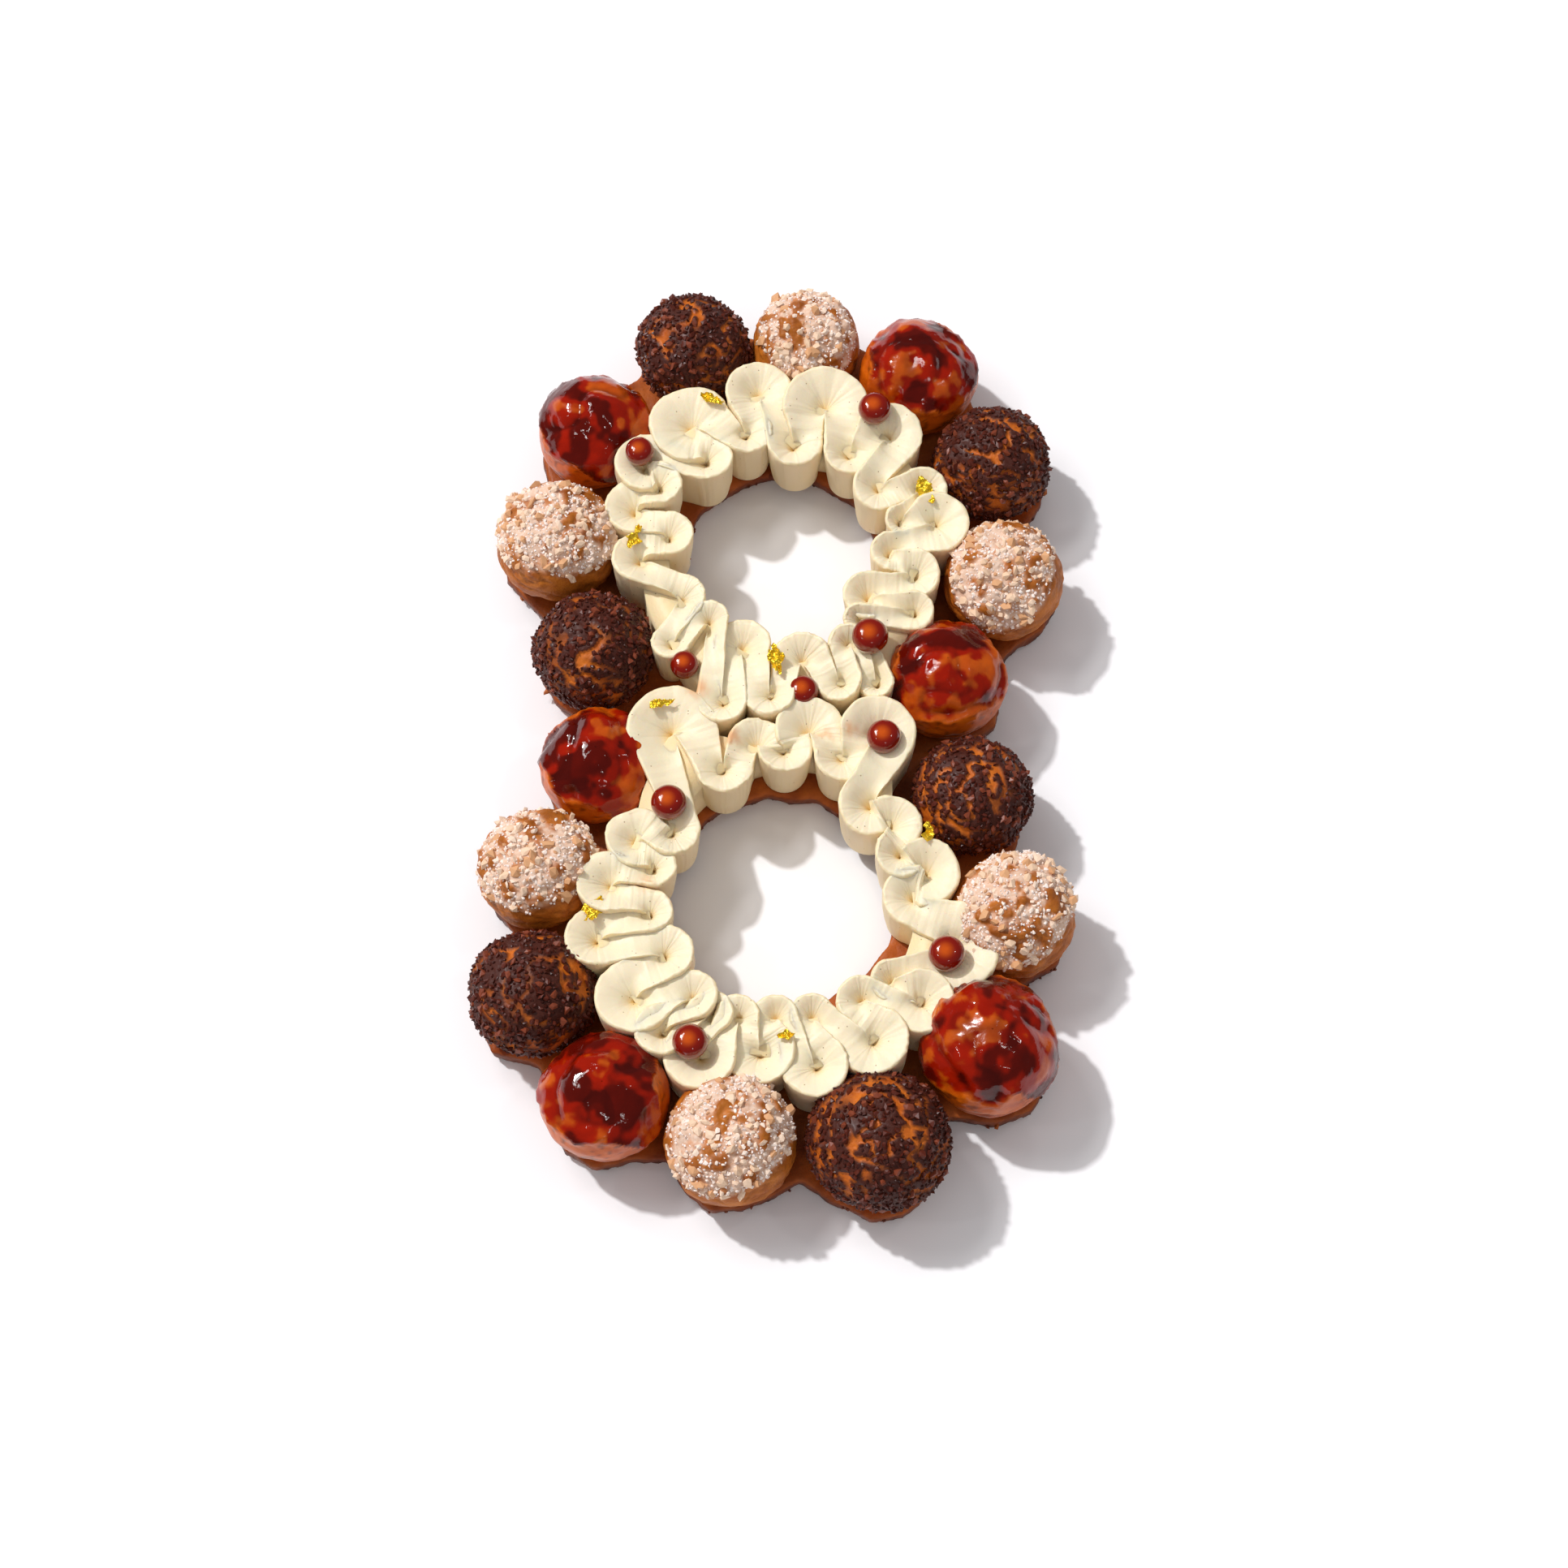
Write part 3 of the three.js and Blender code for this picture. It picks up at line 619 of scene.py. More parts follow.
@dataclass(frozen=True)
class Strewing:
    """Grains strewn over a surface by Geometry Nodes, as thickly as its attribute strew says.

    Spacing is in millimetres, density in grains a square millimetre, and smallest and largest are
    radii in millimetres. Most grains are near the smallest, by the power crowding.
    """

    name: str
    spacing: float
    density: float
    smallest: float
    largest: float
    seed: int
    shapes: int = 8
    rough: float = 0.42
    flattest: float = 0.55
    longest: float = 1.3
    crowding: float = 2.0

    def grains(self) -> bpy.types.Collection:
        """Makes the collection of grain shapes, each about 1 mm in radius.

        Returns:
            A collection that the tree draws from and that is removed afterwards.
        """
        shelf = bpy.data.collections.new(f"{self.name}_shapes")
        random = np.random.default_rng(self.seed)
        golden = (1 + 5 ** 0.5) / 2
        corners = np.array([(-1, golden, 0), (1, golden, 0), (-1, -golden, 0), (1, -golden, 0),
                            (0, -1, golden), (0, 1, golden), (0, -1, -golden), (0, 1, -golden),
                            (golden, 0, -1), (golden, 0, 1), (-golden, 0, -1), (-golden, 0, 1)])
        corners /= np.linalg.norm(corners[0])
        faces = [(0, 11, 5), (0, 5, 1), (0, 1, 7), (0, 7, 10), (0, 10, 11), (1, 5, 9), (5, 11, 4),
                 (11, 10, 2), (10, 7, 6), (7, 1, 8), (3, 9, 4), (3, 4, 2), (3, 2, 6), (3, 6, 8), (3, 8, 9),
                 (4, 9, 5), (2, 4, 11), (6, 2, 10), (8, 6, 7), (9, 8, 1)]
        for number in range(self.shapes):
            shaken = corners * (1 + self.rough * random.uniform(-1, 1, (len(corners), 1)))
            shaken = shaken * random.uniform(self.flattest, self.longest, 3)
            mesh = bpy.data.meshes.new(f"{self.name}_shape_{number}")
            mesh.from_pydata((shaken * MM).tolist(), [], faces)
            shelf.objects.link(bpy.data.objects.new(mesh.name, mesh))
        return shelf

    def tree(self) -> bpy.types.NodeTree:
        """Builds the node tree.

        Returns:
            A tree that turns a surface into the grains strewn over it.
        """
        tree = bpy.data.node_groups.new(f"strew_{self.name}", "GeometryNodeTree")
        for label, kind in (("Geometry", "Geometry"), ("Spacing", "Float"), ("Density", "Float"),
                            ("Smallest", "Float"), ("Largest", "Float"), ("Seed", "Int"),
                            ("Grains", "Collection"), ("Finish", "Material")):
            tree.interface.new_socket(label, in_out="INPUT", socket_type=f"NodeSocket{kind}")
        tree.interface.new_socket("Geometry", in_out="OUTPUT", socket_type="NodeSocketGeometry")
        given = add_node(tree, "NodeGroupInput").outputs
        cover = add_node(tree, "GeometryNodeInputNamedAttribute", {"data_type": "FLOAT"}, {"Name": "strew"})
        spread = add_node(tree, "GeometryNodeDistributePointsOnFaces", {"distribute_method": "POISSON"}, None,
                          {"Mesh": given["Geometry"], "Distance Min": given["Spacing"],
                           "Density Max": given["Density"], "Density Factor": cover.outputs["Attribute"],
                           "Seed": given["Seed"]})
        tint = add_node(tree, "FunctionNodeRandomValue", {"data_type": "FLOAT"}, None,
                        {"Seed": given["Seed"]})
        tinted = add_node(tree, "GeometryNodeStoreNamedAttribute", {"data_type": "FLOAT", "domain": "POINT"},
                          {"Name": "tint"},
                          {"Geometry": spread.outputs["Points"], "Value": tint.outputs["Value"]})
        shelf = add_node(tree, "GeometryNodeCollectionInfo", None,
                         {"Separate Children": True, "Reset Children": True}, {"Collection": given["Grains"]})
        turn = add_node(tree, "FunctionNodeRandomValue", {"data_type": "FLOAT_VECTOR"},
                        {"Max": (math.tau,) * 3}, {"Seed": given["Seed"]})
        draw = add_node(tree, "FunctionNodeRandomValue", {"data_type": "FLOAT"}, None,
                        {"Seed": given["Seed"]})
        small = add_node(tree, "ShaderNodeMath", {"operation": "POWER"}, {1: self.crowding},
                         {0: draw.outputs["Value"]})
        size = add_node(tree, "ShaderNodeMapRange", None, None,
                        {"Value": small.outputs["Value"], "To Min": given["Smallest"],
                         "To Max": given["Largest"]})
        laid = add_node(tree, "GeometryNodeInstanceOnPoints", None, {"Pick Instance": True},
                        {"Points": tinted.outputs["Geometry"], "Instance": shelf.outputs["Instances"],
                         "Rotation": turn.outputs["Value"], "Scale": size.outputs["Result"]})
        real = add_node(tree, "GeometryNodeRealizeInstances", None, None,
                        {"Geometry": laid.outputs["Instances"]})
        done = add_node(tree, "GeometryNodeSetMaterial", None, None,
                        {"Geometry": real.outputs["Geometry"], "Material": given["Finish"]})
        add_node(tree, "NodeGroupOutput", None, None, {"Geometry": done.outputs["Geometry"]})
        return tree

    def strew(self, surface: bpy.types.Object, finish: bpy.types.Material) -> bpy.types.Object:
        """Strews the grains over a surface.

        Args:
            surface: mesh object with the attribute strew, removed afterwards.
            finish: the grains' material.

        Returns:
            The grains as one mesh object.
        """
        shelf = self.grains()
        tree = self.tree()
        modifier = surface.modifiers.new("strew", "NODES")
        modifier.node_group = tree
        given = {"Spacing": self.spacing * MM, "Density": self.density / MM ** 2, "Smallest": self.smallest,
                 "Largest": self.largest, "Seed": self.seed, "Grains": shelf, "Finish": finish}
        for item in tree.interface.items_tree:
            if item.in_out == "INPUT" and item.name in given:
                modifier[item.identifier] = given[item.name]
        mesh = evaluated_mesh(surface)
        mesh.name = self.name
        grains = bpy.data.objects.new(self.name, mesh)
        bpy.context.scene.collection.objects.link(grains)
        bpy.data.objects.remove(surface)
        for shape in list(shelf.objects):
            bpy.data.objects.remove(shape)
        bpy.data.collections.remove(shelf)
        bpy.data.node_groups.remove(tree)
        return grains


# Turnings of the cream, anticlockwise from the right: bearing and reach of the rim's tip and
# radius of the fan there, as the CAD part has them. Outer and inner turnings take turns.
TURNINGS: dict[Ring, dict[str, Table]] = {
    Ring.UPPER: {
        "outer": (
            (342, 54, 7.5), (5, 62, 9.0), (20, 58, 7.0), (47, 63, 9.5), (74, 65, 12.0), (99, 66, 9.5),
            (127, 66, 12.0), (150, 64, 9.0), (168, 61, 8.5), (190, 58, 8.0), (226, 60, 5.5),
            (251, 71, 7.0), (265, 66, 7.0), (289, 63, 6.5), (300, 67, 5.0), (327, 58, 6.0),
        ),
        "inner": (
            (351, 29, 5.5), (8, 34, 4.5), (30, 28, 7.5), (55, 30, 7.5), (84, 26, 8.0), (108, 32, 7.5),
            (132, 30, 7.5), (156, 38, 7.0), (179, 30, 7.0), (213, 32, 7.0), (231, 33, 5.5),
            (251, 33, 8.0), (277, 36, 8.0), (298, 38, 5.5), (309, 34, 4.5), (322, 27, 7.0),
        ),
    },
    Ring.LOWER: {
        "outer": (
            (9, 59, 9.5), (33, 53, 8.5), (60, 77, 10.5), (80, 69, 9.5), (98, 62, 8.0),
            (121, 82, 12.5), (157, 60, 8.5), (176, 65, 9.0), (194, 70, 8.5), (217, 70, 10.5),
            (231, 68, 7.5), (245, 71, 10.0), (263, 64, 9.5), (281, 69, 9.0), (301, 69, 9.5),
            (321, 69, 9.0), (342, 73, 12.8),
        ),
        "inner": (
            (19, 33, 7.0), (46, 32, 9.0), (67, 43, 8.0), (88, 42, 7.5), (112, 38, 8.0),
            (147, 32, 7.5), (166, 34, 6.5), (188, 34, 6.5), (209, 32, 8.0), (231, 36, 7.0),
            (241, 38, 6.0), (252, 36, 6.0), (268, 34, 6.0), (284, 35, 6.0), (306, 36, 6.5),
            (321, 39, 6.0), (359, 33, 8.5),
        ),
    },
}


@dataclass(frozen=True)
class Turning:
    """One turning of the piped ribbon: its side, crease, fan radius and rim height."""

    side: int
    crease: np.ndarray
    fan: float
    rim: float


@dataclass(frozen=True)
class Cut:
    """A cut across the ribbon, on its way from one turning to the next or round one.

    Left and right are its edges in the plan, and left_rim and right_rim how much each is a rim. Way
    is its share of the stroke, and lean how it lies over its neighbour, 1 with its right edge up.
    """

    left: np.ndarray
    right: np.ndarray
    left_rim: float
    right_rim: float
    way: float
    lean: float
    before: Turning
    after: Turning

    @property
    def rim(self) -> float:
        """Height of the rim here."""
        return self.before.rim + (self.after.rim - self.before.rim) * float(smooth(self.way))


@dataclass
class PipedCream:
    """A ring of cream piped in a zigzag, as one fine sweep along the ribbon. Sizes in millimetres."""

    ring: Ring
    centre: tuple[float, float]
    seed: int
    rim: float = 31.5
    sway: float = 1.1
    crease: float = 24.5
    breadth: float = 1.2
    overlap: float = 1.1
    tightest: float = 0.97
    fan_steps: int = 30
    stroke_steps: int = 16
    wall_steps: int = 8
    edge_steps: int = 4
    top_steps: int = 26
    edge_radius: float = 0.8
    bulge: float = 0.3
    flare: float = -1.7
    lip: float = 0.15
    lip_width: float = 1.0
    steepness: float = 1.9
    sag: float = 0.9
    lumps: Noise = Noise(11.0, 2, 10)
    lump: float = 0.55
    ripple_size: float = 3.2
    ripple_seed: int = 20
    ripple: float = 0.14
    tear_size: float = 1.1
    tear_seed: int = 30
    tear: float = 0.3
    streak_seed: int = 40
    pleat_size: float = 2.4
    pleat_seed: int = 50
    pleat: float = 0.22
    core_height: float = 27.0
    core_steps: int = 120
    # How much painted shade the core and the walls get, and how far below the rim the painted crease shade
    # starts and grows, in millimetres.
    core_shade: float = 0.35
    wall_shade: float = 0.2
    shade_from: float = 2.5
    shade_reach: float = 6.5
    full_lip_width: float = 6.0
    still_floor: float = 4.0
    pleat_blend: float = 5.0
    toast_noise: Noise = Noise(2.5, 3, 60)
    toast_strength: float = 0.8

    def turnings(self) -> list[Turning]:
        """Turnings in piping order, their rims swaying up and down a little."""
        random = np.random.default_rng(self.seed)
        made = []
        for outer, inner in zip(TURNINGS[self.ring]["outer"], TURNINGS[self.ring]["inner"]):
            for side, (bearing, reach, listed) in ((1, outer), (-1, inner)):
                fan = listed * self.breadth
                angle = math.radians(bearing)
                way = np.array([math.cos(angle), math.sin(angle)])
                crease = np.array(self.centre) + way * (reach - side * fan)
                made.append(Turning(side, crease, fan, self.rim + self.sway * random.uniform(-1, 1)))
        return made

    def stations(self) -> list[Cut]:
        """Cuts across the ribbon, one after the other."""
        turns = self.turnings()
        count = len(turns)
        ways = []
        for index, turn in enumerate(turns):
            after = turns[(index + 1) % count]
            span = after.crease - turn.crease
            length = float(np.linalg.norm(span))
            angle = turn.side * math.asin(min(self.tightest, (turn.fan + after.fan) / 2 / length))
            along = span / length
            cos, sin = math.cos(angle), math.sin(angle)
            ways.append(np.array([cos * along[0] - sin * along[1], sin * along[0] + cos * along[1]]))
        cuts = []
        for index, turn in enumerate(turns):
            after = turns[(index + 1) % count]
            arriving = self.rim_way(ways[index - 1], turn.side)
            leaving = self.rim_way(ways[index], turn.side)
            start = math.atan2(arriving[1], arriving[0])
            sweep = math.atan2(leaving[1], leaving[0]) - start
            while sweep * turn.side < 0:
                sweep += math.tau * turn.side
            for step in range(self.fan_steps):
                angle = start + sweep * step / self.fan_steps
                rim = turn.crease + turn.fan * np.array([math.cos(angle), math.sin(angle)])
                left, right = (turn.crease, rim) if turn.side > 0 else (rim, turn.crease)
                lean = turn.side * (2 * float(smooth(step / self.fan_steps)) - 1)
                cuts.append(Cut(left, right, *self.rimness(turn.side, 0.0), 0.0, lean, turn, turn))
            for step in range(self.stroke_steps):
                t = step / self.stroke_steps
                near = turn.crease + (after.crease - leaving * after.fan - turn.crease) * t
                far = turn.crease + leaving * turn.fan
                far = far + (after.crease - far) * t
                left, right = (near, far) if turn.side > 0 else (far, near)
                rims = self.rimness(turn.side, float(smooth(t)))
                cuts.append(Cut(left, right, *rims, t, float(turn.side), turn, after))
        return cuts

    @staticmethod
    def rim_way(way: np.ndarray, side: int) -> np.ndarray:
        """Unit vector from the crease to the rim, square to the ribbon's direction."""
        return side * np.array([way[1], -way[0]])

    @staticmethod
    def rimness(side: int, t: float) -> tuple[float, float]:
        """How much the left and the right edge are a rim, at a share of the way along a stroke."""
        return (t, 1 - t) if side > 0 else (1 - t, t)

    def top(self, cut: Cut, share: np.ndarray) -> np.ndarray:
        """Heights of the top across a cut, at shares of the way from its left edge to its right one."""
        floor = self.crease + cut.rim - self.rim
        near_left = np.clip(1 - share, 1e-6, 1) ** self.steepness
        near_right = np.clip(share, 1e-6, 1) ** self.steepness
        low = near_left ** min(1, 2 * cut.right_rim) * near_right ** min(1, 2 * (1 - cut.right_rim))
        return cut.rim - self.sag * 4 * cut.way * (1 - cut.way) - (cut.rim - floor) * low

    def edge(self, cut_rim: float, step: int, offset: float, height: float) -> np.ndarray:
        """One rounded edge of a cut and the wall under it.

        Args:
            cut_rim: how much the edge is a rim.
            step: 1 for the right edge, -1 for the left one.
            offset: where the top ends, in millimetres across the cut.
            height: how high it ends.

        Returns:
            Places across and heights, from the top down.
        """
        radius = self.edge_radius * cut_rim
        turn = np.linspace(0, math.pi / 2, self.edge_steps + 1)[1:]
        arc = np.stack([offset + step * radius * np.sin(turn), height - radius * (1 - np.cos(turn))], axis=1)
        start = arc[-1]
        down = np.linspace(0, 1, self.wall_steps + 1)[1:]
        swell = self.bulge * np.sin(math.pi * down) + self.flare * down
        wall = np.stack([start[0] + step * cut_rim * swell,
                         start[1] + (FLOOR_OF_CREAM - start[1]) * down], axis=1)
        return np.concatenate([arc, wall])

    def section(self, cut: Cut) -> tuple[np.ndarray, np.ndarray, np.ndarray]:
        """Points of one cut from its left foot over its top to its right foot.

        Args:
            cut: the cut.

        Returns:
            The points, the painted shade at each, deepest in the creases, and how much each is on a rim's
            edge.
        """
        width = float(np.linalg.norm(cut.right - cut.left))
        across = (cut.right - cut.left) / width
        inset = [self.edge_radius * cut.left_rim, self.edge_radius * cut.right_rim]
        offset = np.linspace(0, 1, self.top_steps)
        offset = inset[0] + (width - inset[0] - inset[1]) * offset
        share = offset / width
        height = self.top(cut, share)
        lips = cut.left_rim * np.exp(-((offset / self.lip_width) ** 2))
        lips += cut.right_rim * np.exp(-(((width - offset) / self.lip_width) ** 2))
        height = height + self.lip * lips * min(1.0, width / self.full_lip_width)
        height = height + self.overlap * cut.lean * (2 * share - 1)
        left = self.edge(cut.left_rim, -1, offset[0], height[0])
        right = self.edge(cut.right_rim, 1, offset[-1], height[-1])
        line = np.concatenate([left[::-1], np.stack([offset, height], axis=1), right])
        points = np.column_stack([cut.left[0] + across[0] * line[:, 0],
                                  cut.left[1] + across[1] * line[:, 0], line[:, 1]])
        # Painted shade, growing deeper below the rim into the creases; the walls get a fixed painted shade.
        painted_shade = smooth((cut.rim - self.shade_from - line[:, 1]) / self.shade_reach)
        painted_shade[:len(left)] = painted_shade[-len(right):] = self.wall_shade
        torn = np.zeros(len(line))
        torn[len(left) - 3:len(left) + 2] = cut.left_rim
        torn[-len(right) - 2:-len(right) + 3] = cut.right_rim
        return points, painted_shade, torn

    def core(self) -> tuple[np.ndarray, np.ndarray]:
        """Cream that lies under the strokes, so that no crease opens onto the base.

        Returns:
            Points and faces of a low ring between the inner and the outer creases.
        """
        turns = self.turnings()
        bearings = np.linspace(0, 360, self.core_steps, endpoint=False)
        reaches = []
        for side in (-1, 1):
            creases = np.array([turn.crease for turn in turns if turn.side == side]) - self.centre
            angles = np.degrees(np.arctan2(creases[:, 1], creases[:, 0])) % 360
            order = np.argsort(angles)
            lengths = np.linalg.norm(creases, axis=1)[order]
            reaches.append(np.interp(bearings, angles[order], lengths, period=360))
        low, high = np.minimum(*reaches), np.maximum(*reaches)
        angle = np.radians(bearings)
        rows = []
        for reach, height in ((low, FLOOR_OF_CREAM), (low, self.core_height), (high, self.core_height),
                              (high, FLOOR_OF_CREAM)):
            rows.append(np.column_stack([self.centre[0] + reach * np.cos(angle),
                                         self.centre[1] + reach * np.sin(angle),
                                         np.full(len(angle), height)]))
        return np.concatenate(rows), grid_faces(4, self.core_steps, True)[:, ::-1]

    @staticmethod
    def step_length(cut: Cut, following: Cut) -> float:
        """Longest way between two cuts, along the left or the right edge."""
        left, right = following.left - cut.left, following.right - cut.right
        return float(max(np.linalg.norm(left), np.linalg.norm(right)))

    def streaks(self, count: int, length: int) -> np.ndarray:
        """Faint streaks that run across the ribbon, one value a point."""
        random = np.random.default_rng(self.seed + self.streak_seed)
        line = random.uniform(0, 1, count)
        return np.repeat(line, length)

    def build(self, toast: Table, finish: bpy.types.Material) -> bpy.types.Object:
        """Builds the ring.

        Args:
            toast: places of toasted patches: x, y and radius.
            finish: the cream's material.

        Returns:
            The cream's object.
        """
        cuts = self.stations()
        sections = [self.section(cut) for cut in cuts]
        length = len(sections[0][0])
        points, painted_shade, torn = (np.concatenate(column) for column in zip(*sections))
        streak = self.streaks(len(cuts), length)
        rows = len(cuts)
        faces = grid_faces(rows + 1, length, False) % (rows * length)
        core, core_faces = self.core()
        faces = np.concatenate([faces, core_faces + len(points)])
        points = np.concatenate([points, core])
        painted_shade = np.concatenate([painted_shade, np.full(len(core), self.core_shade)])
        torn, streak = (np.concatenate([values, np.zeros(len(core))]) for values in (torn, streak))
        run = np.cumsum([0.0] + [self.step_length(a, b) for a, b in zip(cuts, cuts[1:])])
        line = lattice_noise(np.column_stack([run, run * 0, run * 0]), self.pleat_size,
                             self.seed + self.pleat_seed)
        pleats = np.concatenate([np.repeat(line, length), np.zeros(len(core))])
        points[:, 2] += self.pleat * pleats * smooth((points[:, 2] - self.crease) / self.pleat_blend)
        free = smooth((points[:, 2] - FLOOR_OF_CREAM) / self.still_floor)
        for axis in range(3):
            seed = self.seed + axis
            lump = self.lump * self.lumps.over(points, seed)
            ripple = self.ripple * lattice_noise(points, self.ripple_size, seed + self.ripple_seed)
            tear = self.tear * torn * lattice_noise(points, self.tear_size, seed + self.tear_seed)
            points[:, axis] += free * (lump + ripple + tear)
        browned = np.zeros(len(points))
        for x, y, radius in toast:
            away = np.hypot(points[:, 0] - x, points[:, 1] - y) / radius
            browned = np.maximum(browned, smooth(1.2 - away))
        browned *= smooth(0.6 + 0.8 * self.toast_noise.over(points, self.seed)) * self.toast_strength
        browned *= smooth((points[:, 2] - self.crease) / self.still_floor)
        # The attribute crease carries the painted crease shade.
        return make_piece(f"piped_cream_{self.ring.value}", points, faces, finish,
                          {"crease": painted_shade, "toast": browned, "streak": streak})


class Relief:
    """What a puff's crust does at each point. Heights in millimetres, latitudes in degrees.

    The cover's edge lies at latitude EDGE and sways by WAVES: size, number round and shift by seed.
    """

    EDGE: float
    WAVES: Table
    RAGGED: float
    EDGE_BLEND: float
    LUMPS = Noise(15, 2, 0)
    FOLDS = Noise(9, 3, 5)
    FINE = Noise(2.4, 2, 8)
    LUMP = 1.1
    GRAIN = 0.15
    FOLD_TONE = 0.25
    LOW_TONE = 0.35
    LOW_REACH = 30
    WIND = 0.06
    STRETCH = 2.2
    STILL_FOOT = 0.3
    FOOT_BLEND = 4

    def __init__(self, points: np.ndarray, latitude: np.ndarray, seed: int) -> None:
        """Works out the crust.

        Args:
            points: points of the body, its axis upright through the origin.
            latitude: their latitude from the waist, in degrees.
            seed: number that picks the puff's noises.
        """
        self.points, self.latitude, self.seed = points, latitude, seed
        self.bearing = np.arctan2(points[:, 1], points[:, 0])
        self.lumps = self.LUMPS.over(points, seed)
        self.folds = self.FOLDS.over(self.wound(), seed)
        self.fine = self.FINE.over(points, seed)
        self.rise = self.LUMP * self.lumps + self.GRAIN * self.fine
        self.tone = self.FOLD_TONE * self.folds + self.LOW_TONE * smooth(-latitude / self.LOW_REACH)
        self.cover = self.burnt = self.strew = np.zeros(len(points))
        self.work()
        self.rise *= smooth((points[:, 2] - self.STILL_FOOT) / self.FOOT_BLEND)

    def work(self) -> None:
        """Adds the crust's own relief and colours."""

    def at(self, noise: Noise) -> np.ndarray:
        """A noise's values at the body's points."""
        return noise.over(self.points, self.seed)

    def edge(self) -> np.ndarray:
        """Latitude of the cover's edge at each point's bearing."""
        edge = self.EDGE
        for size, count, shift in self.WAVES:
            edge = edge + size * np.sin(count * self.bearing + shift * self.seed)
        return edge + self.RAGGED * self.lumps

    def above(self, edge: np.ndarray) -> np.ndarray:
        """How far each point lies over the cover's edge, from 0 to 1."""
        return smooth((self.latitude - edge) / self.EDGE_BLEND)

    def wound(self) -> np.ndarray:
        """The points turned round the axis with height and drawn out along it, for folds that wind up."""
        turn = self.points[:, 2] * self.WIND + self.seed
        cos, sin = np.cos(turn), np.sin(turn)
        x, y, z = self.points.T
        return np.column_stack([cos * x - sin * y, sin * x + cos * y, z * self.STRETCH])

    def shades(self) -> dict[str, np.ndarray]:
        """The attributes that the material reads, from 0 to 1."""
        return {"tone": np.clip(self.tone, 0, 1), "cover": np.clip(self.cover, 0, 1),
                "burnt": np.clip(self.burnt, 0, 1)}


class CraquelinRelief(Relief):
    """Chocolate craquelin: one thick crust down past the waist, with orange cracks."""

    EDGE = -20
    WAVES = ((8, 2, 1),)
    RAGGED = 12
    EDGE_BLEND = 6
    CRACKS = Noise(7, 2, 11)
    CRACK = 0.15
    CRACK_BLEND = 0.06
    PATCHES = Noise(12, 2, 13)
    PATCHY = (0.8, 1.6)
    THICK = 0.9
    SUNK = 1.0
    ROUGHNESS = Noise(1.7, 2, 12)
    ROUGH = 0.45
    GRAINS_FROM = 0.45
    GRAINS_BLEND = 0.3
    WARMTH = 0.1

    def work(self) -> None:
        """Lays the crust, opens its cracks and roughens it."""
        over = self.above(self.edge())
        crack = self.CRACKS.over(self.wound(), self.seed)
        patch = smooth(self.PATCHY[0] + self.PATCHY[1] * self.at(self.PATCHES))
        gap = smooth((self.CRACK - np.abs(crack)) / self.CRACK_BLEND) * patch
        self.cover = over * (1 - gap)
        rough = self.ROUGH * self.at(self.ROUGHNESS) * self.cover
        self.rise += self.THICK * self.cover - self.SUNK + rough
        self.strew = smooth((self.cover - self.GRAINS_FROM) / self.GRAINS_BLEND)
        self.tone += self.WARMTH


class SugarRelief(Relief):
    """Sugar and nuts on the crown, in clumps, over golden folds that wind up the sides."""

    EDGE = 14
    WAVES = ((10, 2, 1),)
    RAGGED = 14
    EDGE_BLEND = 14
    CLUMPS = Noise(4.2, 3, 14)
    CLUMP = 1.8
    CRUST = 0.2
    RIDGE_SHARPNESS = 5
    RIDGE = 0.6
    GRIT = 0.3
    POWDERED = (0.85, 1.6, 0.3)
    STREWN = (1.2, 1.6)
    FOLD_SHADE = 0.35
    GAP_SHADE = 0.3
    GAPS = (-0.2, 2.0)

    def work(self) -> None:
        """Folds the sides, heaps the crown and powders it."""
        ridge = 1 - np.minimum(1, np.abs(self.folds) * self.RIDGE_SHARPNESS)
        over = self.above(self.edge())
        clump = self.at(self.CLUMPS)
        heap = over * (self.CLUMP * np.abs(clump) + self.CRUST)
        self.rise += self.RIDGE * (0.5 - ridge) + self.GRIT * self.fine + heap
        powder, by_clump, by_ridge = self.POWDERED
        self.cover = over * smooth(powder + by_clump * clump - by_ridge * ridge)
        self.strew = over * smooth(self.STREWN[0] + self.STREWN[1] * clump)
        # Painted shade in the grooves of the folds below the cover and in the gaps of the powder on the
        # crown.
        gaps = smooth(self.GAPS[0] - self.GAPS[1] * clump)
        self.burnt = self.FOLD_SHADE * ridge * (1 - over) + self.GAP_SHADE * over * gaps


